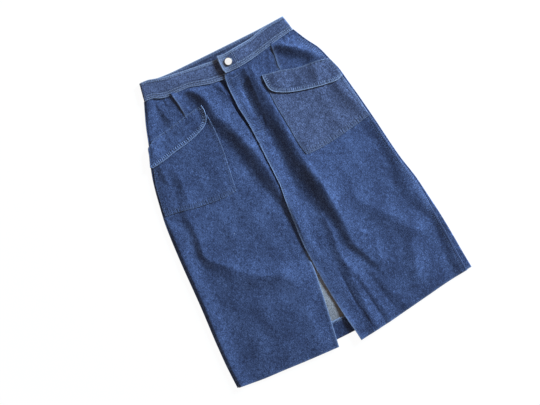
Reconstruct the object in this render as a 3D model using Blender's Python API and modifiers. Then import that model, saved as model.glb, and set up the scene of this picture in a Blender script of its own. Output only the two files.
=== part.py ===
"""A denim skirt laid flat, front up: walls of cloth, a doubled waistband, flapped patch pockets, a button.

The pattern tables are in millimetres: `across` runs to the wearer's left (+X), `up` to the waist (+Y),
both from the middle of the centre front. CENTRE_ACROSS and CENTRE_UP move the pattern so that the part's
origin is the bottom centre of its box. Right and left are the wearer's. Heights are above the table, Z = 0.
"""
import math
from collections import namedtuple

import bmesh
import bpy
from mathutils import Vector

MM = 0.001

# Driving sizes, millimetres
CENTRE_ACROSS = -25.5      # pattern position of the box's centre
CENTRE_UP = 34.5
CLOTH = 1.2                # one layer of denim
SEAM_GAP = 0.3             # between two sewn pieces, edge to edge
BAND_GAP = 0.6             # between the band's foot and the cloth sewn into it,
CORNER_EASE = 0.6          # and this much more where the band folds round the side
LAY_GAP = 0.5              # between a piece and the panel that it lies on
FLAP_CLOTH = 1.8           # two layers, stitched flat
BAND_CLOTH = 3.0           # waistband: two layers with their turned-in edges
BAND_FOLD = 2.2            # radius of the band's fold at each side, to the middle of its thickness
SIDE_ROLL = 1.6            # radius of the back's rolled side edge, to the middle of its wall
LAP_RISE = 1.85            # the left front rides this much higher where it laps over the right,
UNDERLAP_RISE = 1.5        # and this much more over the waistband's underlap
SEAM_LAP = 10.0            # it keeps that height this far in from its edge,
UNDERLAP_WIDTH = 34.0      # over the underlap this far,
LAP_RUNOUT = 18.0          # and comes down over this width
UNDERLAP_FOOT = (284, 304) # it climbs onto the underlap between these heights on the pattern,
LAP_ENDS = (104, 150)      # and settles between these distances below the pattern's zero
FLY_LIFT = 1.4             # its edge stands up where the fly gapes,
FLY_GAPE = (175, 200, 225, 260)
GAPE_RUNOUT = 16.0
SLIT_LIFT = 3.2            # and along the slit
SLIT_STARTS = (112, 200)
SLIT_RUNOUT = 12.0
TAB_RISE = 5.0             # the tab rides this much higher than the underlap
WAIST_RUN = 50.0           # the fronts rise to the band over this length
FOLD_FADE = (36, 9)        # the folds die out between these distances below the band
SHOULDER = 9.0             # the fronts round off towards the side seams over this width
HEM_TURNING = 40.0         # depth of the back's turned-up hem
HEM_INSET = 1.2            # it stops this far short of the rolled sides,
HEM_SETBACK = 0.5          # and this far above the hem's edge
SHIELD_TOP, SHIELD_FOOT = 311.0, 152.0
SHIELD_SHOWS = 8.0         # the shield reaches this far under the right front where the fly gapes,
SHIELD_GAPE = (190, 215)   # between these heights on the pattern,
SHIELD_REACH = 26.0        # this far under the left front,
SHIELD_LIMIT = 20.0        # and at most this far out from the left front's edge
FLY_SIDE = 10.0            # the right front's band starts this far right of the left front's edge
PLEAT_BAND = 7.0           # width of the columns that follow a pleat's edge
CORNER_SHARPNESS = 12      # the ease at the band's corners dies out over a twelfth of a panel's width
PANEL_TOP, PANEL_HEM = 335.0, -305.0   # first guesses at a panel's top and hem, then worked out
PANEL_ROWS = 32            # the back and the fronts have their rows at the same heights,
ROW_SPREAD = 0.5           # closest at the waist: the first rows are this part of the mean spacing
BUTTON_RADIUS = 8.5
BUTTON_ACROSS = -13.0
BUTTON_UP = 346.0

ROLL_REACH = SIDE_ROLL + CLOTH / 2
EDGE_UNDER = 2 * SIDE_ROLL                      # underside of the top layer at a side seam
BACK_BAND_MIDDLE = BAND_CLOTH / 2
FRONT_BAND_MIDDLE = BACK_BAND_MIDDLE + 2 * BAND_FOLD
WAIST_RISE = FRONT_BAND_MIDDLE - CLOTH / 2 - EDGE_UNDER
BAND_REACH = BAND_FOLD + BAND_CLOTH / 2

# Side edges of the skirt as it lies: (up, across)
SIDE_RIGHT = ((-300, -311), (-250, -311.5), (-200, -310), (-100, -304), (0, -300), (85, -294),
              (135, -286), (180, -277), (216, -266.5), (258, -250), (300, -236), (350, -216))
SIDE_LEFT = ((-290, 261), (-250, 258), (-200, 255), (-150, 251), (-100, 245), (-60, 240), (0, 228),
             (100, 215), (150, 208), (200, 200), (225, 196), (254, 187), (285, 177), (315, 160),
             (350, 143))
# Width of back cloth that rolls over to the front before the side seam: (up, width)
WRAP_RIGHT = ((-310, 3.2), (360, 3.2))
WRAP_LEFT = ((-310, 11.0), (-250, 10.0), (-150, 8.0), (-100, 4.5), (-60, 3.4), (0, 3.2), (360, 3.2))

# Free edges of the two fronts at the fly, the seam below it and the slit: (up, across)
EDGE_OF_LEFT = ((-325, -24), (-298, -27), (-250, -34), (-190, -40), (-140, -43), (-95, -44.5),
                (-30, -41), (25, -36), (60, -32), (150, -32.5), (185, -33), (220, -35), (250, -38),
                (290, -38), (305, -37), (318, -35), (330, -30))
EDGE_OF_RIGHT = ((-325, -76), (-314, -74), (-256, -64), (-185, -53), (-140, -47), (-100, -45.6),
                 (-80, -40), (-30, -33), (25, -28), (60, -24), (160, -25), (185, -29), (200, -38),
                 (240, -45), (270, -47.5), (300, -49), (330, -51))

# Hems and the waistband's edges: (across, up)
HEM_RIGHT = ((-312, -296), (-250, -303.5), (-200, -306.5), (-150, -310), (-74, -314))
HEM_LEFT = ((-24, -322), (0, -319.5), (50, -314), (100, -307), (150, -300), (200, -293), (262, -287))
HEM_BACK = ((-312, -295.5), (-200, -297.5), (-50, -298), (120, -295), (262, -286.5))
BAND_TOP_RIGHT = ((-208, 390), (-190, 389), (-175, 385), (-150, 378), (-125, 374), (-75, 367),
                  (-33, 362), (5, 360))
BAND_FOOT_RIGHT = ((-216, 350), (-196, 348), (-181, 341), (-166, 337), (-118, 335), (-92, 327.5),
                   (-65, 320), (-50, 318), (-34, 315.5), (5, 312))
BAND_TOP_LEFT = ((-34, 368.5), (-13, 365), (12, 367), (50, 370), (75, 376), (100, 380), (137, 382))
BAND_FOOT_LEFT = ((-34, 326), (0, 325), (25, 327), (50, 331), (84, 337), (100, 340), (144, 347))
BAND_TOP_BACK = ((-208, 390), (-175, 384), (-125, 380.5), (0, 380), (50, 380), (137, 382))
BAND_FOOT_BACK = ((-216, 350), (-175, 343), (-125, 339), (0, 338), (100, 341), (144, 347))
UNDERLAP_END = -2.0
TAB_END = -30.0
TAB_BOW = 3.0
TAB_SLOPE = (3, 30)        # the tab comes down to the band between these places

# Folds of the fronts: the ridge's line, its height, and how far each side slopes away.
# Light cloth rises on the wearer's left of each ridge, so the right-hand slopes are the steep ones.
Fold = namedtuple("Fold", "up across height right_slope left_slope")
FOLDS = {
    "from the band beside the fly": (
        Fold(-225, 92, 0, 16, 40), Fold(-180, 78, 3.4, 20, 40), Fold(-150, 66, 5.2, 22, 44),
        Fold(-100, 57, 7.0, 26, 50), Fold(-50, 54, 8.0, 29, 56), Fold(0, 48, 8.8, 32, 60),
        Fold(75, 39, 8.8, 30, 64), Fold(175, 29, 8.4, 27, 66), Fold(240, 28, 7.8, 29, 62),
        Fold(290, 26, 5.6, 24, 50), Fold(330, 22, 2.6, 18, 34)),
    "from the right pleat to the seam": (
        Fold(-40, -38, 0, 16, 20), Fold(10, -38, 1.4, 18, 20), Fold(60, -42, 3.2, 20, 22),
        Fold(100, -49, 4.8, 21, 26), Fold(160, -59, 6.0, 22, 28), Fold(215, -67, 6.4, 22, 30),
        Fold(260, -81, 6.0, 23, 32), Fold(303, -94, 4.2, 20, 34), Fold(335, -120, 1.5, 16, 30)),
    "left hip": (
        Fold(262, 180, 0, 20, 14), Fold(280, 165, 2.6, 24, 18), Fold(310, 135, 3.8, 25, 24),
        Fold(338, 108, 2.0, 20, 22)),
    "right pocket": (
        Fold(95, -222, 0, 16, 22), Fold(130, -224, 2.0, 18, 26), Fold(180, -227, 2.2, 18, 26),
        Fold(215, -226, 0, 16, 22)),
    "right side seam": (
        Fold(-330, -294, 1.6, 14, 26), Fold(-200, -291, 2.2, 14, 30), Fold(-100, -288, 1.8, 12, 26),
        Fold(0, -287, 1.2, 10, 20), Fold(90, -280, 0, 10, 18)),
    "across the right thigh": (
        Fold(-125, -170, 0, 14, 34), Fold(-90, -208, 2.4, 18, 40), Fold(-40, -238, 3.0, 18, 42),
        Fold(0, -249, 3.2, 16, 40), Fold(60, -245, 2.8, 15, 36), Fold(105, -238, 0, 12, 30)),
    "right skirt, low": (
        Fold(-330, -150, 1.8, 60, 50), Fold(-230, -140, 2.4, 64, 46), Fold(-150, -120, 1.6, 60, 40),
        Fold(-60, -105, 0, 50, 36)),
    "left of the slit": (
        Fold(-330, 12, 3.4, 14, 11), Fold(-270, 11, 3.2, 14, 11), Fold(-180, 11, 2.8, 14, 11),
        Fold(-130, 15, 2.6, 14, 12), Fold(-75, 19, 2.0, 13, 12), Fold(-40, 22, 0, 10, 10)),
    "second from the slit": (
        Fold(-330, 60, 2.4, 12, 16), Fold(-280, 49, 3.0, 13, 16), Fold(-220, 40, 3.0, 13, 15),
        Fold(-160, 27, 0, 10, 12)),
    "third from the slit": (
        Fold(-330, 104, 1.8, 12, 22), Fold(-262, 85, 2.6, 13, 22), Fold(-220, 67, 0, 11, 16)),
    "short, under the long fold": (
        Fold(-215, 90, 0, 12, 18), Fold(-185, 98, 2.0, 14, 20), Fold(-150, 106, 0, 12, 18)),
    "left knee, upper": (
        Fold(-178, 204, 0, 14, 26), Fold(-160, 186, 2.8, 17, 30), Fold(-140, 170, 3.2, 18, 30),
        Fold(-105, 150, 0, 14, 26)),
    "left knee, lower": (
        Fold(-275, 112, 0, 14, 22), Fold(-240, 134, 2.2, 18, 26), Fold(-200, 157, 2.8, 18, 26),
        Fold(-150, 160, 0, 14, 22)),
    "left thigh": (
        Fold(-165, 124, 0, 20, 24), Fold(-125, 130, 2.6, 26, 28), Fold(-85, 128, 0, 20, 24)),
    "left side": (
        Fold(-160, 203, 0, 10, 16), Fold(-115, 202, 1.8, 12, 18), Fold(-75, 198, 0, 10, 16)),
    "beside the left seam": (
        Fold(-330, 238, 1.2, 10, 10), Fold(-200, 232, 1.6, 12, 12), Fold(-110, 226, 1.4, 12, 10),
        Fold(-50, 218, 0, 10, 8)),
    "hollow between the long fold and the fly": (
        Fold(-60, 2, 0, 30, 24), Fold(20, 0, -1.2, 30, 24), Fold(100, -2, -1.2, 28, 22),
        Fold(150, -4, 0, 24, 20)),
}

# Pleats released from the band: each one's edge, and how deep it stands there
Pleat = namedtuple("Pleat", "up across depth")
PLEAT_RIGHT = (Pleat(-330, -140, 0), Pleat(276, -150, 0), Pleat(290, -150, 1.3),
               Pleat(312, -151.5, 2.2), Pleat(340, -156, 2.6))
PLEAT_LEFT = (Pleat(-330, 110, 0), Pleat(274, 80, 0), Pleat(288, 79, 1.3), Pleat(312, 82.5, 2.2),
              Pleat(342, 85.5, 2.6))
PLEAT_RISER = 1.1          # the pleat's edge climbs over this width
PLEAT_RUNOUT = 17.0        # and runs out over this one

# Outlines of what lies on the fronts: four sides, each a run of (across, up) points.
# `upper` and `lower` run from the centre to the side, `inner` and `outer` from top to bottom.
PATCHES = {
    "pocket_left": {
        "upper": ((37, 262), (100, 252), (150, 243), (190, 235)),
        "lower": ((48, 91), (75, 89.5), (100, 91), (150, 97), (209.5, 106)),
        "inner": ((37, 262), (36.5, 225), (40, 175), (43, 125), (48, 91)),
        "outer": ((190, 235), (196, 200), (204.2, 150), (209.5, 106))},
    "pocket_right": {
        "upper": ((-106, 263), (-150, 257), (-200, 246), (-256, 231)),
        "lower": ((-122, 88), (-150, 86.5), (-200, 91), (-250, 101), (-286, 107)),
        "inner": ((-106, 263), (-105, 235), (-107, 190), (-112, 155), (-117, 120), (-122, 88)),
        "outer": ((-256, 231), (-266, 200), (-273, 180), (-282, 135), (-286, 107))},
    "flap_left": {
        "upper": ((38.5, 287.5), (48, 285), (75, 280), (118, 267.5), (150, 263.5), (183, 257)),
        "lower": ((38, 262), (39.5, 254), (44, 246), (60, 235), (75, 228), (100, 220), (125, 214),
                  (150, 209), (180, 205.2), (195, 211)),
        "inner": ((38.5, 287.5), (37.8, 275), (38, 262)),
        "outer": ((183, 257), (188, 250), (191, 237), (195, 211))},
    "flap_right": {
        "upper": ((-108, 288), (-150, 282), (-200, 273), (-232, 269), (-246, 260)),
        "lower": ((-109, 262), (-113, 254), (-121, 245), (-135, 238), (-150, 233), (-175, 227),
                  (-200, 223), (-240, 215), (-262, 212.5), (-267.5, 216)),
        "inner": ((-108, 288), (-107, 275), (-109, 262)),
        "outer": ((-246, 260), (-253, 255), (-258, 240), (-267.5, 216))},
}
FLAP_CLIMB = 16.0          # a flap climbs onto its pocket over this length below its top edge

DENIM = (0.026, 0.062, 0.190)
DENIM_WORN = (0.040, 0.088, 0.230)
DENIM_WRONG_SIDE = (0.25, 0.28, 0.34)
NICKEL = (0.80, 0.79, 0.77)


def along(table, at, column=1):
    """Read one column of a table at a place between its rows, on a curve that never overshoots."""
    if at <= table[0][0]:
        return table[0][column]
    if at >= table[-1][0]:
        return table[-1][column]
    i = max(k for k in range(len(table) - 1) if table[k][0] <= at)

    def slope(k):
        return (table[k + 1][column] - table[k][column]) / (table[k + 1][0] - table[k][0])

    def tangent(k):
        if k == 0 or k == len(table) - 1:
            return slope(min(k, len(table) - 2))
        before, after = slope(k - 1), slope(k)
        return 0.0 if before * after <= 0 else 2 * before * after / (before + after)

    span = table[i + 1][0] - table[i][0]
    t = (at - table[i][0]) / span
    a, b = table[i][column], table[i + 1][column]
    return (a * (1 + 2 * t) * (1 - t) ** 2 + b * t * t * (3 - 2 * t)
            + span * (tangent(i) * t * (1 - t) ** 2 + tangent(i + 1) * t * t * (t - 1)))


def ramp(value, start, stop):
    """Go smoothly from 0 at start to 1 at stop."""
    t = min(max((value - start) / (stop - start), 0.0), 1.0)
    return t * t * (3 - 2 * t)


def blend(a, b, t):
    return a + (b - a) * t


# Heights of the fronts' underside --------------------------------------------------------------

def fold_height(across, up):
    """Sum of the folds at one place."""
    height = 0.0
    for table in FOLDS.values():
        if not table[0].up < up < table[-1].up:
            continue
        off = across - along(table, up, 1)
        width = along(table, up, 4) if off > 0 else along(table, up, 3)
        if abs(off) < width:
            height += along(table, up, 2) * (0.5 + 0.5 * math.cos(math.pi * off / width))
    return height


def pleat_height(across, up):
    """A sharp edge on the wearer's right of the pleat, running out on its left."""
    height = 0.0
    for pleat in (PLEAT_RIGHT, PLEAT_LEFT):
        off = across - along(pleat, up, 1)
        if -PLEAT_RISER < off < PLEAT_RUNOUT:
            rise = (off + PLEAT_RISER) / PLEAT_RISER if off < 0 else 1 - ramp(off, 0, PLEAT_RUNOUT)
            height += along(pleat, up, 2) * rise
    return height


def band_foot(across):
    """The waistband's lower edge on the front, all the way across."""
    on_right = across < EDGE_OF_LEFT[-1][1] - FLY_SIDE
    return along(BAND_FOOT_RIGHT if on_right else BAND_FOOT_LEFT, across)


def front_under(across, up):
    """Underside of the front layer, where a front lies on the back."""
    from_right = across - along(SIDE_RIGHT, up) - along(WRAP_RIGHT, up)
    from_left = along(SIDE_LEFT, up) - along(WRAP_LEFT, up) - across
    settle = 1 - math.exp(-max(min(from_right, from_left), 0.0) / SHOULDER)
    foot = band_foot(across)
    at_waist = ramp(up, foot - WAIST_RUN, foot)
    folds = fold_height(across, up) * (1 - ramp(up, foot - FOLD_FADE[0], foot - FOLD_FADE[1]))
    return EDGE_UNDER + settle * (WAIST_RISE * at_waist + folds + pleat_height(across, up))


def left_under(across, up):
    """Underside of the left front, which laps over the right one and lifts along the slit."""
    off = across - along(EDGE_OF_LEFT, up)
    over_underlap = ramp(up, *UNDERLAP_FOOT)
    width = blend(SEAM_LAP, UNDERLAP_WIDTH, over_underlap)
    rise = LAP_RISE + UNDERLAP_RISE * over_underlap
    lap = rise * (1 - ramp(off, width, width + LAP_RUNOUT)) * (1 - ramp(-up, *LAP_ENDS))
    gape = ramp(up, *FLY_GAPE[:2]) * (1 - ramp(up, *FLY_GAPE[2:])) * (1 - ramp(off, 0, GAPE_RUNOUT))
    slit = ramp(-up, *SLIT_STARTS) * math.exp(-max(off, 0.0) / SLIT_RUNOUT)
    return front_under(across, up) + lap + FLY_LIFT * gape + SLIT_LIFT * slit


def shield_under(across, up):
    """The fly's shield lies just under the fronts and clear of the back."""
    return max(front_under(across, up) - CLOTH - LAY_GAP, CLOTH + SEAM_GAP)


def over(under, thickness=CLOTH, gap=LAY_GAP):
    """The height at which a piece lies on the wall whose underside is given."""
    step = 0.5

    def height(across, up):
        here = under(across, up)
        slope_across = (under(across + step, up) - under(across - step, up)) / (2 * step)
        slope_up = (under(across, up + step) - under(across, up - step)) / (2 * step)
        return here + thickness * math.sqrt(1 + slope_across ** 2 + slope_up ** 2) + gap
    return height


# Building tools ----------------------------------------------------------------------------------

def material(name, colour, roughness=0.9, metallic=0.0):
    mat = bpy.data.materials.new(name)
    mat.use_nodes = True
    shader = mat.node_tree.nodes["Principled BSDF"]
    shader.inputs["Base Color"].default_value = (*colour, 1.0)
    shader.inputs["Roughness"].default_value = roughness
    shader.inputs["Metallic"].default_value = metallic
    return mat


def to_part(across, up, height):
    """A pattern point as a point of the part, in metres."""
    return Vector((across - CENTRE_ACROSS, up - CENTRE_UP, height)) * MM


def wall(name, colour, columns, rows, place, thickness, offset):
    """An open grid laid where place(u, v) says, made a wall by Solidify.

    place gives a pattern point for u from 0 to 1 across and v from 0 at the top to 1 at the foot.
    """
    mesh = bpy.data.meshes.new(name)
    bm = bmesh.new()
    bmesh.ops.create_grid(bm, x_segments=columns, y_segments=rows, size=0.5)
    for vert in bm.verts:
        u = round((vert.co.x + 0.5) * columns) / columns
        v = round((0.5 - vert.co.y) * rows) / rows
        vert.co = to_part(*place(u, v))
    bm.to_mesh(mesh)
    bm.free()
    obj = bpy.data.objects.new(name, mesh)
    collection.objects.link(obj)
    mesh.materials.append(material(name, colour))
    mesh.shade_smooth()
    solid = obj.modifiers.new("Cloth", "SOLIDIFY")
    solid.thickness = thickness * MM
    solid.offset = offset
    solid.use_even_offset = True
    return obj


def panel(name, colour, guides, cells, top, hem, under):
    """A front: columns run down between guide lines, rows across from the band to the hem."""
    columns = sum(cells)
    steps = [0]
    for count in cells:
        steps.append(steps[-1] + count)

    def column(u, up):
        at = u * columns
        k = min(max(i for i in range(len(steps)) if steps[i] <= at + 1e-6), len(cells) - 1)
        t = (at - steps[k]) / cells[k]
        return blend(guides[k](up), guides[k + 1](up), t)

    def place(u, v):
        ease = CORNER_EASE * math.exp(-CORNER_SHARPNESS * min(u, 1 - u))
        first = PANEL_TOP
        for _ in range(3):
            first = top(column(u, first)) - BAND_GAP - ease
        last = hem(column(u, PANEL_HEM))
        up = blend(first, last, row_at(v))
        across = column(u, up)
        return across, up, under(across, up)

    return wall(name, colour, columns, PANEL_ROWS, place, CLOTH, 1)


def row_at(v):
    """Rows of the large pieces lie closer together near the waist."""
    return v * (ROW_SPREAD + (1 - ROW_SPREAD) * v)


def run_along(points, t):
    """The place at a fraction of the length of a run of points, on a smooth curve."""
    lengths = [0.0]
    for a, b in zip(points, points[1:]):
        lengths.append(lengths[-1] + math.dist(a, b))
    table = [(d, *p) for d, p in zip(lengths, points)]
    at = t * lengths[-1]
    return along(table, at, 1), along(table, at, 2)


def patch(name, colour, columns, rows, under, thickness):
    """A piece that lies on a front: a grid drawn between its four sides."""
    sides = PATCHES[name]
    corner = {"ui": sides["upper"][0], "uo": sides["upper"][-1],
              "li": sides["lower"][0], "lo": sides["lower"][-1]}

    def place(u, v):
        if name.endswith("right"):
            u = 1 - u
        upper, lower = run_along(sides["upper"], u), run_along(sides["lower"], u)
        inner, outer = run_along(sides["inner"], v), run_along(sides["outer"], v)
        flat = []
        for k in (0, 1):
            edges = blend(upper[k], lower[k], v) + blend(inner[k], outer[k], u)
            corners = blend(blend(corner["ui"][k], corner["uo"][k], u),
                            blend(corner["li"][k], corner["lo"][k], u), v)
            flat.append(edges - corners)
        return flat[0], flat[1], under(*flat)

    return wall(name, colour, columns, rows, place, thickness, 1)


# The pieces --------------------------------------------------------------------------------------

def make_back():
    """One flat sheet whose two sides roll up and over to the side seams."""
    turn, lip, flat = 4, 1, 9
    columns = 2 * (turn + lip) + flat

    def section(step, up):
        left_end = along(SIDE_RIGHT, up) + ROLL_REACH
        right_end = along(SIDE_LEFT, up) - ROLL_REACH
        if turn + lip <= step <= turn + lip + flat:
            return blend(left_end, right_end, (step - turn - lip) / flat), 0.0
        on_left = step < turn + lip
        end, sign = (left_end, -1) if on_left else (right_end, 1)
        wrap = along(WRAP_RIGHT if on_left else WRAP_LEFT, up)
        past = turn + lip - step if on_left else step - (turn + lip + flat)
        if past <= turn:
            angle = math.pi * past / turn
            return end + sign * SIDE_ROLL * math.sin(angle), SIDE_ROLL * (1 - math.cos(angle))
        return end - sign * (wrap - ROLL_REACH - SEAM_GAP / 2), 2 * SIDE_ROLL

    def place(u, v):
        step = round(u * columns)
        up = 0.0
        for _ in range(3):
            across = section(step, up)[0]
            up = blend(along(BAND_FOOT_BACK, across) - BAND_GAP, along(HEM_BACK, across), row_at(v))
        across, height = section(step, up)
        return across, up, CLOTH / 2 + height

    wall("back_panel", DENIM_WRONG_SIDE, columns, PANEL_ROWS, place, CLOTH, 0)


def make_back_hem():
    """The back's hem turned up on its inner face."""
    inset = ROLL_REACH + HEM_INSET
    columns, rows = 16, 2

    def place(u, v):
        up = -HEM_TURNING
        for _ in range(3):
            across = blend(along(SIDE_RIGHT, up) + inset, along(SIDE_LEFT, up) - inset, u)
            up = along(HEM_BACK, across) + blend(HEM_TURNING, HEM_SETBACK, v)
        return across, up, CLOTH + SEAM_GAP

    wall("back_hem", DENIM, columns, rows, place, CLOTH, 1)


def make_fronts():
    def seam_right(up):
        return along(SIDE_RIGHT, up) + along(WRAP_RIGHT, up) + SEAM_GAP / 2

    def seam_left(up):
        return along(SIDE_LEFT, up) - along(WRAP_LEFT, up) - SEAM_GAP / 2

    def beside(pleat, off):
        return lambda up: along(pleat, up, 1) + off

    columns_right, columns_left = (12, 1, 1, 12), (16, 1, 1, 13)
    panel("front_right", DENIM,
          (seam_right, beside(PLEAT_RIGHT, -PLEAT_RISER), beside(PLEAT_RIGHT, 0),
           beside(PLEAT_RIGHT, PLEAT_BAND), lambda up: along(EDGE_OF_RIGHT, up)),
          columns_right, lambda x: along(BAND_FOOT_RIGHT, x), lambda x: along(HEM_RIGHT, x),
          front_under)
    panel("front_left", DENIM,
          (lambda up: along(EDGE_OF_LEFT, up), beside(PLEAT_LEFT, -PLEAT_RISER),
           beside(PLEAT_LEFT, 0), beside(PLEAT_LEFT, PLEAT_BAND), seam_left),
          columns_left, lambda x: along(BAND_FOOT_LEFT, x), lambda x: along(HEM_LEFT, x),
          left_under)


def make_shield():
    """The strip behind the fly, from under the right front's edge to well under the left front."""
    columns, rows = 4, 14

    def place(u, v):
        up = blend(SHIELD_TOP, SHIELD_FOOT, v)
        across = blend(along(EDGE_OF_RIGHT, up) - SHIELD_SHOWS * ramp(up, *SHIELD_GAPE),
                       along(EDGE_OF_LEFT, up) + SHIELD_REACH, u)
        across = max(across, along(EDGE_OF_LEFT, up) - SHIELD_LIMIT)
        return across, up, shield_under(across, up)

    wall("fly_shield", DENIM, columns, rows, place, CLOTH, 1)


def make_waistband():
    """One doubled strip from the underlap's end round the back to the tab."""
    front_right, fold, back, front_left, rows = 22, 6, 18, 20, 3
    columns = front_right + fold + back + fold + front_left
    ends = {"top": (BAND_TOP_BACK[0][0] + BAND_REACH, BAND_TOP_BACK[-1][0] - BAND_REACH),
            "foot": (BAND_FOOT_BACK[0][0] + BAND_REACH, BAND_FOOT_BACK[-1][0] - BAND_REACH)}
    tables = {"top": (BAND_TOP_RIGHT, BAND_TOP_BACK, BAND_TOP_LEFT),
              "foot": (BAND_FOOT_RIGHT, BAND_FOOT_BACK, BAND_FOOT_LEFT)}

    def edge(side, step):
        right_end, left_end = ends[side]
        if step <= front_right:
            across = blend(UNDERLAP_END, right_end, step / front_right)
            return across, along(tables[side][0], across), FRONT_BAND_MIDDLE
        step -= front_right
        if step < fold:
            angle = math.pi * step / fold
            return (right_end - BAND_FOLD * math.sin(angle), along(tables[side][1], right_end),
                    BACK_BAND_MIDDLE + BAND_FOLD * (1 + math.cos(angle)))
        step -= fold
        if step <= back:
            across = blend(right_end, left_end, step / back)
            return across, along(tables[side][1], across), BACK_BAND_MIDDLE
        step -= back
        if step < fold:
            angle = math.pi * step / fold
            return (left_end + BAND_FOLD * math.sin(angle), along(tables[side][1], left_end),
                    BACK_BAND_MIDDLE + BAND_FOLD * (1 - math.cos(angle)))
        step -= fold
        across = blend(left_end, TAB_END, step / front_left)
        return (across, along(tables[side][2], across),
                FRONT_BAND_MIDDLE + TAB_RISE * (1 - ramp(across, *TAB_SLOPE)))

    def place(u, v):
        step = round(u * columns)
        top, foot = edge("top", step), edge("foot", step)
        across, up, height = (blend(top[k], foot[k], v) for k in range(3))
        if step == columns:
            across -= TAB_BOW * 4 * v * (1 - v)
        return across, up, height

    wall("waistband", DENIM_WORN, columns, rows, place, BAND_CLOTH, 0)


def make_pockets_and_flaps():
    pocket_cells, flap_cells = (13, 12), (12, 5)
    for side, front in (("right", front_under), ("left", left_under)):
        pocket = over(front)
        patch("pocket_" + side, DENIM, *pocket_cells, pocket, CLOTH)
        on_pocket = over(pocket)
        upper = PATCHES["flap_" + side]["upper"]
        top_table = sorted(upper)

        def flap(across, up, pocket=pocket, on_pocket=on_pocket, top_table=top_table):
            below_top = along(top_table, across) - up
            return blend(pocket(across, up), on_pocket(across, up), ramp(below_top, 0, FLAP_CLIMB))

        patch("flap_" + side, DENIM_WORN, *flap_cells, flap, FLAP_CLOTH)


def make_button():
    """A shank button: a turned cap with a raised rim on a short neck, standing on the tab."""
    seat = FRONT_BAND_MIDDLE + TAB_RISE + BAND_CLOTH / 2 + SEAM_GAP
    neck, rim, neck_height = 4.0, BUTTON_RADIUS, 0.7
    profile = ((0.0, 3.1), (3.0, 3.0), (5.6, 2.6), (6.4, 2.3), (7.0, 2.6), (7.8, 2.7), (rim, 2.0),
               (rim, 1.2), (7.8, neck_height), (neck, neck_height), (neck, 0.0), (0.0, 0.0))
    mesh = bpy.data.meshes.new("button")
    bm = bmesh.new()
    points = [bm.verts.new(Vector((r, 0, z)) * MM) for r, z in profile]
    for a, b in zip(points, points[1:]):
        bm.edges.new((a, b))
    bm.to_mesh(mesh)
    bm.free()
    obj = bpy.data.objects.new("button", mesh)
    collection.objects.link(obj)
    mesh.materials.append(material("button", NICKEL, 0.3, 1.0))
    obj.location = to_part(BUTTON_ACROSS, BUTTON_UP, seat)
    turn = obj.modifiers.new("Turned", "SCREW")
    turn.steps = turn.render_steps = 24
    turn.use_merge_vertices = True
    turn.merge_threshold = 0.00002


for old in list(bpy.data.objects):
    bpy.data.objects.remove(old, do_unlink=True)
collection = bpy.data.collections.new("denim_skirt")
bpy.context.scene.collection.children.link(collection)
make_back()
make_back_hem()
make_fronts()
make_shield()
make_waistband()
make_pockets_and_flaps()
make_button()
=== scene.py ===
import math

import bmesh
import bpy
import numpy as np
from mathutils import Matrix, Vector, noise


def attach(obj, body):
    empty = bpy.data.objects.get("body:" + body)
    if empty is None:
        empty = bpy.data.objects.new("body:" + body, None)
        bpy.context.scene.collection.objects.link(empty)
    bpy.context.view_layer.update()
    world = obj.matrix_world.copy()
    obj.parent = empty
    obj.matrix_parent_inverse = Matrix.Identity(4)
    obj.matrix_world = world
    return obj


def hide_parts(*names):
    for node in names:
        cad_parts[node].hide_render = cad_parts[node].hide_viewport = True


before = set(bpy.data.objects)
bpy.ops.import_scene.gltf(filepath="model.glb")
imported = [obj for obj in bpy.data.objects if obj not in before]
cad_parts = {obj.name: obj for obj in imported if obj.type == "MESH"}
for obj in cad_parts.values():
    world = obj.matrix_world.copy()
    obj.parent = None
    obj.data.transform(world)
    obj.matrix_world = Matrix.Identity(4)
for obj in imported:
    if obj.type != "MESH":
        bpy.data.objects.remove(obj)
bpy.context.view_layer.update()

# ------------------------------------------------------------------------------------------------
# The table and the light
# The skirt lies on a plain white table by a window, which stands low on the wearer's left of the
# waist. The camera looks straight down, turned so that the waist points up and to the right.
# ------------------------------------------------------------------------------------------------
VIEW_WIDTH = 1.172          # metres of table across the picture
VIEW_CENTRE = (-0.0430, -0.0016)
VIEW_TURN = math.radians(-26.5)
CAMERA_HEIGHT = 3.0
SENSOR = 36.0
WINDOW_ACROSS, WINDOW_UP = 0.95, 0.32
WINDOW_ELEVATION = math.radians(17.5)
WINDOW_DISTANCE = 3.2
WINDOW_SIZE = (1.5, 0.6)
WINDOW_POWER = 405.0
WINDOW_COLOUR = (0.52, 0.74, 1.0)
# The room gives a soft, warm fill; the camera and polished metal see its white wall.
ROOM_COLOUR, ROOM_STRENGTH = (1.0, 0.87, 0.78, 1.0), 0.195
WALL_COLOUR, WALL_STRENGTH = (0.93, 0.93, 0.93, 1.0), 1.0
TABLE_SIZE, TABLE_TOP = 9.0, -0.0002
TABLE_COLOUR = (0.06, 0.06, 0.06, 1.0)
TABLE_GLOW = 0.93


def set_inputs(node, values):
    for socket, value in values.items():
        node.inputs[socket].default_value = value


def new_material(name):
    """A new material, its node tree and its shader."""
    material = bpy.data.materials.new(name)
    material.use_nodes = True
    return material, material.node_tree, material.node_tree.nodes["Principled BSDF"]


camera = bpy.data.cameras.new("camera")
camera.sensor_width = SENSOR
camera.lens = SENSOR * CAMERA_HEIGHT / VIEW_WIDTH
camera_object = bpy.data.objects.new("camera", camera)
camera_object.location = (*VIEW_CENTRE, CAMERA_HEIGHT)
camera_object.rotation_euler = (0, 0, VIEW_TURN)
bpy.context.collection.objects.link(camera_object)
bpy.context.scene.camera = camera_object
bpy.context.scene.view_settings.view_transform = "Standard"

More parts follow.
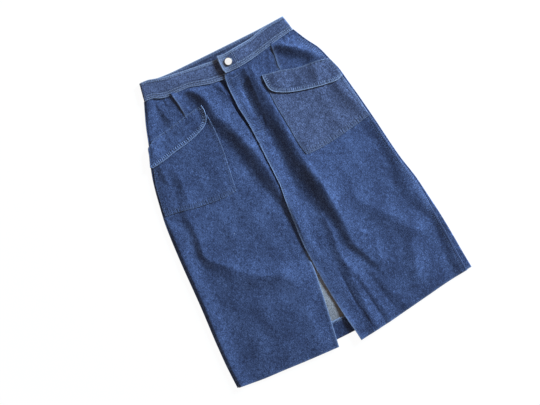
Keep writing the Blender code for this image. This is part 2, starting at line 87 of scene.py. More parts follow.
window = bpy.data.lights.new("window", "AREA")
window.shape = "RECTANGLE"
window.size, window.size_y = WINDOW_SIZE
window.energy = WINDOW_POWER
window.color = WINDOW_COLOUR
window_object = bpy.data.objects.new("window", window)
towards = Vector((WINDOW_ACROSS, WINDOW_UP, 0)).normalized() * math.cos(WINDOW_ELEVATION)
towards.z = math.sin(WINDOW_ELEVATION)
window_object.location = towards * WINDOW_DISTANCE
window_object.rotation_euler = towards.to_track_quat("Z", "Y").to_euler()
bpy.context.collection.objects.link(window_object)

room = bpy.data.worlds.new("room")
bpy.context.scene.world = room
room.use_nodes = True
room_nodes = room.node_tree.nodes
room_links = room.node_tree.links
room_fill = room_nodes["Background"]
set_inputs(room_fill, {"Color": ROOM_COLOUR, "Strength": ROOM_STRENGTH})
room_wall = room_nodes.new("ShaderNodeBackground")
set_inputs(room_wall, {"Color": WALL_COLOUR, "Strength": WALL_STRENGTH})
room_path = room_nodes.new("ShaderNodeLightPath")
room_mix = room_nodes.new("ShaderNodeMixShader")
room_seen = room_nodes.new("ShaderNodeMath")
room_seen.operation = "MAXIMUM"
room_links.new(room_path.outputs["Is Camera Ray"], room_seen.inputs[0])
room_links.new(room_path.outputs["Is Glossy Ray"], room_seen.inputs[1])
room_links.new(room_seen.outputs[0], room_mix.inputs["Fac"])
room_links.new(room_fill.outputs["Background"], room_mix.inputs[1])
room_links.new(room_wall.outputs["Background"], room_mix.inputs[2])
room_links.new(room_mix.outputs["Shader"], room_nodes["World Output"].inputs["Surface"])

bpy.ops.mesh.primitive_plane_add(size=TABLE_SIZE, location=(0, 0, TABLE_TOP))
table = bpy.context.object
table.name = "table"
table_paint, _, table_shader = new_material("table_paint")
set_inputs(table_shader, {"Base Color": TABLE_COLOUR, "Roughness": 0.6,
                          "Emission Color": (1, 1, 1, 1), "Emission Strength": TABLE_GLOW})
table.data.materials.append(table_paint)

# ------------------------------------------------------------------------------------------------
# The back
# One piece of denim from the waistband to the hem, flat on the table with its wrong side up. Its
# two sides roll up and over to the side seams, wider on the wearer's left near the hem.
# ------------------------------------------------------------------------------------------------
MM = 0.001
CENTRE_ACROSS, CENTRE_UP = -25.5, 34.5   # the pattern's place in the frame: across, up in millimetres
CLOTH = 1.2
SEAM_GAP, BAND_GAP, LAY_GAP = 0.3, 0.6, 0.5
SIDE_ROLL = 1.6
ROLL_REACH = SIDE_ROLL + CLOTH / 2
HEM_TURNING = 40.0
SIDE_RIGHT = ((-300, -311), (-250, -311.5), (-200, -310), (-100, -304), (0, -300), (85, -294),
              (135, -286), (180, -277), (216, -266.5), (258, -250), (300, -236), (350, -216))
SIDE_LEFT = ((-290, 261), (-250, 258), (-200, 255), (-150, 251), (-100, 245), (-60, 240), (0, 228),
             (100, 215), (150, 208), (200, 200), (225, 196), (254, 187), (285, 177), (315, 160),
             (350, 143))
WRAP_RIGHT = ((-310, 3.2), (360, 3.2))
WRAP_LEFT = ((-310, 11.0), (-250, 10.0), (-150, 8.0), (-100, 4.5), (-60, 3.4), (0, 3.2), (360, 3.2))
HEM_BACK = ((-312, -295.5), (-200, -297.5), (-50, -298), (120, -295), (262, -286.5))
BAND_FOOT_BACK = ((-216, 350), (-175, 343), (-125, 339), (0, 338), (100, 341), (144, 347))
FAR = 99.0                  # the distance given where there is no edge or row
MARKS = ("edge", "row", "run", "fade", "tick")
ROUNDS = 3                  # across and up each need the other, so they settle in a few rounds


def along(rows, at, column=1):
    """Read a column of a table at places between its rows, on a curve that never overshoots."""
    rows = np.array(rows, float)
    x, y = rows[:, 0], rows[:, column]
    slope = np.diff(y) / np.diff(x)
    tangent = np.zeros_like(y)
    tangent[0], tangent[-1] = slope[0], slope[-1]
    before, after = slope[:-1], slope[1:]
    same = before * after > 0
    tangent[1:-1] = np.where(same, 2 * before * after / np.where(same, before + after, 1), 0)
    at = np.clip(at, x[0], x[-1])
    i = np.clip(np.searchsorted(x, at, side="right") - 1, 0, len(x) - 2)
    span = x[i + 1] - x[i]
    t = (at - x[i]) / span
    return (y[i] * (1 + 2 * t) * (1 - t) ** 2 + y[i + 1] * t * t * (3 - 2 * t)
            + span * (tangent[i] * t * (1 - t) ** 2 + tangent[i + 1] * t * t * (t - 1)))


def ramp(value, start, stop):
    """From 0 at start to 1 at stop, level at both ends."""
    t = np.clip((value - start) / (stop - start), 0, 1)
    return t * t * (3 - 2 * t)


def blend(a, b, t):
    return a + (b - a) * t


def waver(across, up, size_across, size_up, seed):
    """Smooth unevenness between -1 and 1, of the given sizes in millimetres."""
    flat = zip(np.ravel(across) / size_across, np.ravel(up) / size_up)
    return np.array([noise.noise((x, y, seed)) for x, y in flat]).reshape(np.shape(across))


def to_part(across, up, height):
    """From the pattern's millimetres to the frame's metres."""
    return np.stack([(across - CENTRE_ACROSS) * MM, (up - CENTRE_UP) * MM, height * MM], axis=-1)


def finish_wall(obj, thickness, rim):
    """Give a sheet its thickness below its face, and round its cut edges."""
    solid = obj.modifiers.new("cloth", "SOLIDIFY")
    solid.thickness = thickness * MM
    solid.offset = -1
    solid.use_even_offset = True
    solid.thickness_clamp = 0.4
    solid.material_offset = 1
    edge = obj.modifiers.new("rim", "BEVEL")
    edge.width = rim * MM
    edge.segments = 2
    edge.limit_method = "ANGLE"
    edge.angle_limit = math.radians(55)
    edge.use_clamp_overlap = True


def new_piece(name, bm, *materials):
    """An object of a bmesh's shape, smooth, with these materials."""
    mesh = bpy.data.meshes.new(name)
    bm.to_mesh(mesh)
    bm.free()
    mesh.shade_smooth()
    for material in materials:
        mesh.materials.append(material)
    obj = bpy.data.objects.new(name, mesh)
    bpy.context.collection.objects.link(obj)
    return obj


def sheet_of(name, columns, rows, place, face, wrong, thickness=CLOTH, rim=0.35):
    """A grid laid where place says, its face up.

    place(u, v) gives across, up, height and the marks that the cloth's finish reads: edge and row
    are the distances in millimetres to the nearest worn edge and to the nearest row of stitches or
    dip, where the finish paints shade, run is the place along it, fade how much paler the cloth is,
    from wear and from painted light and shade, tick how much it puckers there, and grain is the
    cloth's own across and up.
    """
    bm = bmesh.new()
    bmesh.ops.create_grid(bm, x_segments=columns, y_segments=rows, size=0.5)
    flat = np.array([vert.co for vert in bm.verts])
    laid = place(flat[:, 0] + 0.5, 0.5 - flat[:, 1])
    points = to_part(laid["across"], laid["up"], laid["height"])
    for vert, point in zip(bm.verts, points):
        vert.co = point
    grain = laid.get("grain", (laid["across"], laid["up"]))
    layer = bm.loops.layers.uv.new("grain")
    for face_of_grid in bm.faces:
        for loop in face_of_grid.loops:
            k = loop.vert.index
            loop[layer].uv = (grain[0][k] * MM, grain[1][k] * MM)
    obj = new_piece(name, bm, face, wrong)
    for mark in MARKS:
        values = laid.get(mark, np.full(len(flat), FAR if mark in ("edge", "row") else 0.0))
        attribute = obj.data.attributes.new(mark, "FLOAT", "POINT")
        attribute.data.foreach_set("value", np.ascontiguousarray(values, dtype=np.float32))
    finish_wall(obj, thickness, rim)
    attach(obj, "root")
    return obj


def join(tree, value, socket):
    """Set a socket to a number, or link it to another socket."""
    if isinstance(value, bpy.types.NodeSocket):
        tree.links.new(value, socket)
    else:
        socket.default_value = value


def reckon(tree, operation, *values, clamp=False):
    """Work one step of arithmetic out on numbers or sockets."""
    node = tree.nodes.new("ShaderNodeMath")
    node.operation = operation
    node.use_clamp = clamp
    for value, socket in zip(values, node.inputs):
        join(tree, value, socket)
    return node.outputs[0]


def grain_noise(tree, vector, stretch, detail=2.0, roughness=0.5):
    """Noise on the cloth's grain, stretch being its sizes per millimetre across and up."""
    scaled = tree.nodes.new("ShaderNodeVectorMath")
    scaled.operation = "MULTIPLY"
    tree.links.new(vector, scaled.inputs[0])
    scaled.inputs[1].default_value = (stretch[0] / MM, stretch[1] / MM, 1.0)
    texture = tree.nodes.new("ShaderNodeTexNoise")
    set_inputs(texture, {"Scale": 1.0, "Detail": detail, "Roughness": roughness})
    tree.links.new(scaled.outputs[0], texture.inputs["Vector"])
    return texture.outputs["Fac"]


def tint(tree, factor, a, b):
    """Blend two colours, from a at 0 to b at 1."""
    node = tree.nodes.new("ShaderNodeMix")
    node.data_type = "RGBA"
    node.clamp_factor = True
    join(tree, factor, node.inputs["Factor"])
    join(tree, a, node.inputs[6])
    join(tree, b, node.inputs[7])
    return node.outputs[2]


TWILL_ACROSS, TWILL_UP = 0.00115, 0.0019      # metres between the twill's lines
TICK_LENGTH = 4.7                             # millimetres from one tick to the next


def make_twill():
    """Indigo twill: dark warp over pale weft, slubs along the grain, pale where it is rubbed, with painted
    light and shade on the puckers and painted shade in the rows' grooves.
    """
    group = bpy.data.node_groups.new("indigo_twill", "ShaderNodeTree")
    interface = group.interface
    marks = tuple(mark.capitalize() for mark in MARKS)
    for kind, names in (("Vector", ("Grain",)), ("Float", marks), ("Color", ("Deep", "Bright", "Pale")),
                        ("Float", ("Slub",))):
        for name in names:
            interface.new_socket(name, in_out="INPUT", socket_type="NodeSocket" + kind)
    for kind, name in (("Color", "Colour"), ("Float", "Roughness"), ("Float", "Height")):
        interface.new_socket(name, in_out="OUTPUT", socket_type="NodeSocket" + kind)
    come = group.nodes.new("NodeGroupInput")
    leave = group.nodes.new("NodeGroupOutput")
    grain, edge, row, run, tick = (come.outputs[k] for k in ("Grain", "Edge", "Row", "Run", "Tick"))

    split = group.nodes.new("ShaderNodeSeparateXYZ")
    group.links.new(grain, split.inputs[0])
    diagonal = reckon(group, "ADD", reckon(group, "MULTIPLY", split.outputs[0], 2 * math.pi / TWILL_ACROSS),
                      reckon(group, "MULTIPLY", split.outputs[1], -2 * math.pi / TWILL_UP))
    twill = reckon(group, "MULTIPLY_ADD", reckon(group, "SINE", diagonal), 0.5, 0.5)

    slub = grain_noise(group, grain, (1.0, 0.11), 3.0, 0.6)
    weft = grain_noise(group, grain, (0.10, 0.9), 2.0)
    fleck = grain_noise(group, grain, (0.60, 0.36), 2.0, 0.7)
    mottle = grain_noise(group, grain, (0.16, 0.09), 4.0, 0.6)
    cloud = grain_noise(group, grain, (0.024, 0.015), 2.0)

    tone = 0.52
    for texture, weight in ((slub, 1.8), (weft, 1.0), (fleck, 1.7), (mottle, 0.6), (cloud, 0.7)):
        part = reckon(group, "SUBTRACT", texture, 0.5)
        if texture in (slub, weft, fleck):
            part = reckon(group, "MULTIPLY", part, come.outputs["Slub"])
        tone = reckon(group, "MULTIPLY_ADD", part, weight, tone)
    tone = reckon(group, "MULTIPLY_ADD", reckon(group, "SUBTRACT", twill, 0.5), 0.2, tone)
    tone = reckon(group, "ADD", tone, come.outputs["Fade"])

    # Along rows and turned edges the cloth puckers into short ticks. The ticks are painted paler and darker
    # in turn as light and shade, and the groove at the row gets painted shade.
    along_row = reckon(group, "MULTIPLY", run, 2 * math.pi / TICK_LENGTH)
    beat = reckon(group, "MULTIPLY_ADD", mottle, 9.0, along_row)
    wave = reckon(group, "SINE", beat)
    tone = reckon(group, "MULTIPLY_ADD", reckon(group, "MULTIPLY", tick, wave), 0.20, tone)
    from_row = reckon(group, "MULTIPLY", row, 0.62)
    towards_row = reckon(group, "MULTIPLY", from_row, -1.0)
    painted_groove_shade = reckon(group, "EXPONENT", reckon(group, "MULTIPLY", from_row, towards_row))
    tone = reckon(group, "MULTIPLY_ADD", painted_groove_shade, -0.2, tone, clamp=True)
    tone = reckon(group, "MULTIPLY", tone, tone)
    colour = tint(group, tone, come.outputs["Deep"], come.outputs["Bright"])

    # Edges and the tops of the ticks rub pale.
    rub_edge = reckon(group, "EXPONENT", reckon(group, "MULTIPLY", edge, -0.65))
    rub_edge = reckon(group, "MULTIPLY", rub_edge, reckon(group, "MULTIPLY_ADD", wave, 0.12, 0.7))
    crest = reckon(group, "MAXIMUM", wave, 0.0)
    rub_tick = reckon(group, "MULTIPLY", crest, reckon(group, "MULTIPLY", tick, 0.22))
    rub = reckon(group, "MULTIPLY", reckon(group, "MAXIMUM", rub_edge, rub_tick),
                 reckon(group, "MULTIPLY_ADD", fleck, 1.2, 0.3), clamp=True)
    colour = tint(group, rub, colour, come.outputs["Pale"])

    # Lint: a very few white specks.
    specks = group.nodes.new("ShaderNodeTexVoronoi")
    set_inputs(specks, {"Scale": 36.0, "Randomness": 1.0})
    group.links.new(grain, specks.inputs["Vector"])
    chosen = group.nodes.new("ShaderNodeSeparateColor")
    group.links.new(specks.outputs["Color"], chosen.inputs[0])
    lint = reckon(group, "MULTIPLY", reckon(group, "LESS_THAN", specks.outputs["Distance"], 0.026),
                  reckon(group, "GREATER_THAN", chosen.outputs[0], 0.86))
    colour = tint(group, reckon(group, "MULTIPLY", lint, 0.7), colour, (0.62, 0.68, 0.78, 1.0))
    group.links.new(colour, leave.inputs["Colour"])

    group.links.new(reckon(group, "MULTIPLY_ADD", fleck, 0.18, 0.72), leave.inputs["Roughness"])
    ripple = reckon(group, "MULTIPLY", wave, reckon(group, "MULTIPLY", tick, 0.8))
    relief = reckon(group, "MULTIPLY_ADD", twill, 0.35, reckon(group, "MULTIPLY", slub, 0.6))
    relief = reckon(group, "MULTIPLY_ADD", fleck, 0.5, relief)
    group.links.new(reckon(group, "ADD", relief, ripple), leave.inputs["Height"])
    return group


TWILL = make_twill()


def denim(name, deep, bright, pale, slub=1.0, sheen=0.25):
    """A cloth material on the twill group, reading the piece's grain and marks."""
    material, tree, shader = new_material(name)
    twill = tree.nodes.new("ShaderNodeGroup")
    twill.node_tree = TWILL
    grain = tree.nodes.new("ShaderNodeUVMap")
    grain.uv_map = "grain"
    tree.links.new(grain.outputs[0], twill.inputs["Grain"])
    for mark in MARKS:
        read = tree.nodes.new("ShaderNodeAttribute")
        read.attribute_name = mark
        tree.links.new(read.outputs["Fac"], twill.inputs[mark.capitalize()])
    set_inputs(twill, {"Deep": (*deep, 1.0), "Bright": (*bright, 1.0), "Pale": (*pale, 1.0), "Slub": slub})
    bump = tree.nodes.new("ShaderNodeBump")
    set_inputs(bump, {"Strength": 0.55, "Distance": 0.00022})
    tree.links.new(twill.outputs["Height"], bump.inputs["Height"])
    tree.links.new(twill.outputs["Colour"], shader.inputs["Base Color"])
    tree.links.new(twill.outputs["Roughness"], shader.inputs["Roughness"])
    tree.links.new(bump.outputs["Normal"], shader.inputs["Normal"])
    set_inputs(shader, {"Specular IOR Level": 0.25, "Sheen Weight": sheen, "Sheen Roughness": 0.45,
                        "Sheen Tint": (0.55, 0.66, 0.9, 1.0)})
    return material


INDIGO = denim("indigo_denim", (0.009, 0.014, 0.042), (0.116, 0.168, 0.330), (0.35, 0.43, 0.60))
WORN = denim("worn_denim", (0.013, 0.016, 0.038), (0.140, 0.172, 0.294), (0.40, 0.46, 0.58), slub=1.15)
WRONG_SIDE = denim("wrong_side_denim", (0.18, 0.17, 0.17), (0.60, 0.57, 0.55), (0.6, 0.60, 0.60),
                   slub=1.2, sheen=0.15)
BACK_TURN, BACK_LIP, BACK_FLAT = 10, 6, 90      # the grid's cells in each turn, each lip and the flat
BACK_CELLS, BACK_ROWS = 2 * (BACK_TURN + BACK_LIP) + BACK_FLAT, 160
BACK_ROW_UP = HEM_TURNING - 3      # where the hem's row comes through the back


def back_section(step, up):
    """Across and height of the back's middle layer, step by step round its section."""
    edge_right = along(SIDE_RIGHT, up) + ROLL_REACH
    edge_left = along(SIDE_LEFT, up) - ROLL_REACH
    rolled = BACK_TURN + BACK_LIP
    on_right = step < rolled
    end = np.where(on_right, edge_right, edge_left)
    sign = np.where(on_right, -1, 1)
    wrap = np.where(on_right, along(WRAP_RIGHT, up), along(WRAP_LEFT, up))
    past = np.where(on_right, rolled - step, step - rolled - BACK_FLAT)
    angle = math.pi * np.clip(past / BACK_TURN, 0, 1)
    lip = np.clip((past - BACK_TURN) / BACK_LIP, 0, 1) * (wrap - ROLL_REACH - SEAM_GAP / 2)
    flat = (step >= rolled) & (step <= rolled + BACK_FLAT)
    across = np.where(flat, blend(edge_right, edge_left, (step - rolled) / BACK_FLAT),
                      end + sign * (SIDE_ROLL * np.sin(angle) - lip))
    height = np.where(flat, 0, SIDE_ROLL * (1 - np.cos(angle)))
    return across, height


def place_back(u, v):
    step = u * BACK_CELLS
    up = np.zeros_like(u)
    for _ in range(ROUNDS):
        across, height = back_section(step, up)
        up = blend(along(BAND_FOOT_BACK, across) - BAND_GAP, along(HEM_BACK, across), v)
    across, height = back_section(step, up)
    hem = up - along(HEM_BACK, across)
    # Painted light: the right side's roll, turned away from the window, is painted pale, most of all at the
    # hip; painted shade darkens the left roll; the flat is darker near the hem.
    fade = np.where(u < 0.5, 0.24 + 0.3 * ramp(up, 200, 240), -0.07) * ramp(height, 0.3, 1.5)
    fade = fade - 0.27 * ramp(-up, 190, 245) * (height < 0.3)
    return {"across": across, "up": up, "height": CLOTH / 2 + height, "edge": hem, "run": across,
            "row": np.abs(hem - BACK_ROW_UP), "fade": fade}


# The grid's face is the wrong side; Solidify is centred, so the table side gets the right side.
back = sheet_of("skirt_back", BACK_CELLS, BACK_ROWS, place_back, WRONG_SIDE, INDIGO, rim=0.3)
back.modifiers["cloth"].offset = 0
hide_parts("back_panel")

# ------------------------------------------------------------------------------------------------
# The back's hem
# The last four centimetres of the back, turned up on its wrong side. Its raw edge is overcast in
# pale thread and held by one row of stitches. It shows in the slit.
# ------------------------------------------------------------------------------------------------
HEM_LIES, HEM_INSET, HEM_SETBACK = 0.15, 1.2, 0.5
HEM_ROW = 5.7               # the row's distance from the raw edge
OVERCAST_SHARE, HEM_ROW_SHARE = 0.055, 0.15      # where they are sewn, of the hem's depth


def hem_at(u, v):
    up = np.full_like(u, -HEM_TURNING)
    inset = ROLL_REACH + HEM_INSET
    for _ in range(ROUNDS):
        across = blend(along(SIDE_RIGHT, up) + inset, along(SIDE_LEFT, up) - inset, u)
        up = along(HEM_BACK, across) + blend(HEM_TURNING, HEM_SETBACK, v)
    return across, up


def hem_top(across, up):
    rumple = 0.18 * waver(across, up, 22, 14, 4.4) + 0.08 * waver(across, up, 5, 9, 8.2)
    return CLOTH + HEM_LIES + CLOTH + rumple


def place_hem(u, v):
    across, up = hem_at(u, v)
    depth = HEM_TURNING - (up - along(HEM_BACK, across))
    return {"across": across, "up": up, "height": hem_top(across, up), "edge": depth, "run": across,
            "row": np.abs(depth - HEM_ROW), "fade": np.full_like(u, -0.12)}


hem = sheet_of("back_hem_turn_up", 260, 20, place_hem, INDIGO, INDIGO)
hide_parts("back_hem")


def thread(name, colour, dark):
    """Twisted cotton: two close shades in fine turns."""
    material, tree, shader = new_material(name)
    place = tree.nodes.new("ShaderNodeTexCoord")
    twist = grain_noise(tree, place.outputs["Object"], (1.6, 1.6), 2.0, 0.7)
    turns = reckon(tree, "MULTIPLY_ADD", twist, 1.8, -0.4, clamp=True)
    tree.links.new(tint(tree, turns, (*dark, 1.0), (*colour, 1.0)), shader.inputs["Base Color"])
    set_inputs(shader, {"Roughness": 0.7, "Specular IOR Level": 0.3, "Sheen Weight": 0.3})
    return material


PALE_THREAD = thread("pale_thread", (0.42, 0.50, 0.66), (0.16, 0.21, 0.34))
BLUE_THREAD = thread("blue_thread", (0.17, 0.24, 0.41), (0.04, 0.06, 0.13))
WORN_THREAD = thread("worn_thread", (0.44, 0.50, 0.62), (0.10, 0.13, 0.22))
chance = np.random.RandomState(11)


def walk(line):
    """The length walked along a line at each of its points."""
    return np.concatenate([[0], np.cumsum(np.hypot(*np.diff(line, axis=0).T))])


def sew(name, lines, surface, cotton, pitch=3.1, length=2.5, width=0.62, across_row=False, lift=0.12):
    """Stitches along rows of places: small spindles of thread that lie on the surface."""
    bm = bmesh.new()
    for line in lines:
        walked = walk(line)
        at = np.arange(pitch / 2, walked[-1], pitch)
        if not len(at):
            continue
        x, y = np.interp(at, walked, line[:, 0]), np.interp(at, walked, line[:, 1])
        ahead = [np.interp(np.minimum(at + 1, walked[-1]), walked, line[:, k]) for k in (0, 1)]
        behind = [np.interp(np.maximum(at - 1, 0), walked, line[:, k]) for k in (0, 1)]
        turn = np.arctan2(ahead[1] - behind[1], ahead[0] - behind[0])
        turn = turn + (math.pi / 2 if across_row else 0) + chance.uniform(-0.06, 0.06, len(at))
        cos, sin = np.cos(turn), np.sin(turn)
        reach = length / 3
        dx, dy = cos * reach, sin * reach
        rise = (surface(x + dx, y + dy) - surface(x - dx, y - dy)) / (2 * reach)
        tilt = (surface(x - dy, y + dx) - surface(x + dy, y - dx)) / (2 * reach)
        points = to_part(x, y, surface(x, y) + lift)
        sizes = chance.uniform(0.88, 1.08, len(at))
        for k, point in enumerate(points):
            lengthwise = Vector((cos[k], sin[k], rise[k])).normalized()
            upright = lengthwise.cross(Vector((-sin[k], cos[k], tilt[k]))).normalized()
            sidewise = upright.cross(lengthwise)
            shape = Matrix((lengthwise * length * sizes[k] / 2, sidewise * width / 2, upright * width / 2))
            place = Matrix.Translation(point) @ shape.transposed().to_4x4() @ Matrix.Scale(MM, 4)
            bmesh.ops.create_icosphere(bm, subdivisions=1, radius=1.0, matrix=place)
    obj = new_piece(name, bm, cotton)
    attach(obj, "root")


u = np.linspace(0.01, 0.99, 200)
sew("hem_overcast", [np.column_stack(hem_at(u, np.full_like(u, OVERCAST_SHARE)))], hem_top, PALE_THREAD,
    pitch=1.5, length=5.0, width=0.75, across_row=True)
sew("hem_row", [np.column_stack(hem_at(u, np.full_like(u, HEM_ROW_SHARE)))], hem_top, PALE_THREAD)

# ------------------------------------------------------------------------------------------------
# The two fronts
# Denim panels from the band to the hem. The left one laps over the right at the fly and down the
# seam below it, and both are free along the slit. The big folds run down from the band.
# ------------------------------------------------------------------------------------------------
LAP_RISE, UNDERLAP_RISE = 1.85, 1.5
SEAM_LAP, UNDERLAP_WIDTH, LAP_RUNOUT = 10.0, 34.0, 26.0
UNDERLAP_FOOT = (284, 304)  # between these heights the lap widens over the whole underlap
LAP_ENDS = (104, 150)       # how far below the middle the lap runs out
FLY_LIFT, GAPE_RUNOUT = 0.4, 16.0
FLY_GAPE = (175, 200, 225, 260)      # the fly's edge lifts over the first two and sinks over the others
SLIT_RUNOUT = 30.0
SLIT_SINKS = ((-325, -2.6), (-270, -2.4), (-252, -0.6), (-238, 0.7), (-214, 1.4), (-145, 1.2), (-112, 0))
WAIST_RUN, SHOULDER = 50.0, 9.0
FOLD_FADE = (11, 1)         # the folds run out between these distances below the band
BAND_CLOTH, BAND_FOLD = 3.0, 2.2
EDGE_UNDER = 2 * SIDE_ROLL
BACK_BAND_MIDDLE = BAND_CLOTH / 2
FRONT_BAND_MIDDLE = BACK_BAND_MIDDLE + 2 * BAND_FOLD
WAIST_RISE = FRONT_BAND_MIDDLE - CLOTH / 2 - EDGE_UNDER
INTO_BAND = 4.0             # how far the cloth reaches up between the band's two layers
EDGE_OF_LEFT = ((-325, -24), (-298, -27), (-250, -34), (-190, -40), (-140, -43), (-95, -44.5),
                (-30, -41), (25, -36), (60, -32), (150, -32.5), (185, -33), (220, -35), (250, -38),
                (290, -38), (305, -37), (318, -35), (330, -30))
EDGE_OF_RIGHT = ((-325, -76), (-314, -74), (-256, -64), (-185, -53), (-140, -47), (-100, -45.6),
                 (-80, -40), (-30, -33), (25, -28), (60, -24), (160, -25), (185, -29), (200, -38),
                 (240, -45), (270, -47.5), (300, -49), (330, -51))
HEM_RIGHT = ((-312, -296), (-250, -303.5), (-200, -306.5), (-150, -310), (-74, -314))
HEM_LEFT = ((-24, -322), (0, -319.5), (50, -314), (100, -307), (150, -300), (200, -293), (262, -287))
BAND_FOOT_RIGHT = ((-216, 350), (-196, 348), (-181, 341), (-166, 337), (-118, 335), (-92, 327.5),
                   (-65, 320), (-50, 318), (-34, 315.5), (5, 312))
BAND_FOOT_LEFT = ((-34, 326), (0, 325), (25, 327), (50, 331), (84, 337), (100, 340), (144, 347))
FLY_SIDE = -40.0            # the right front's band lies to the wearer's right of this line

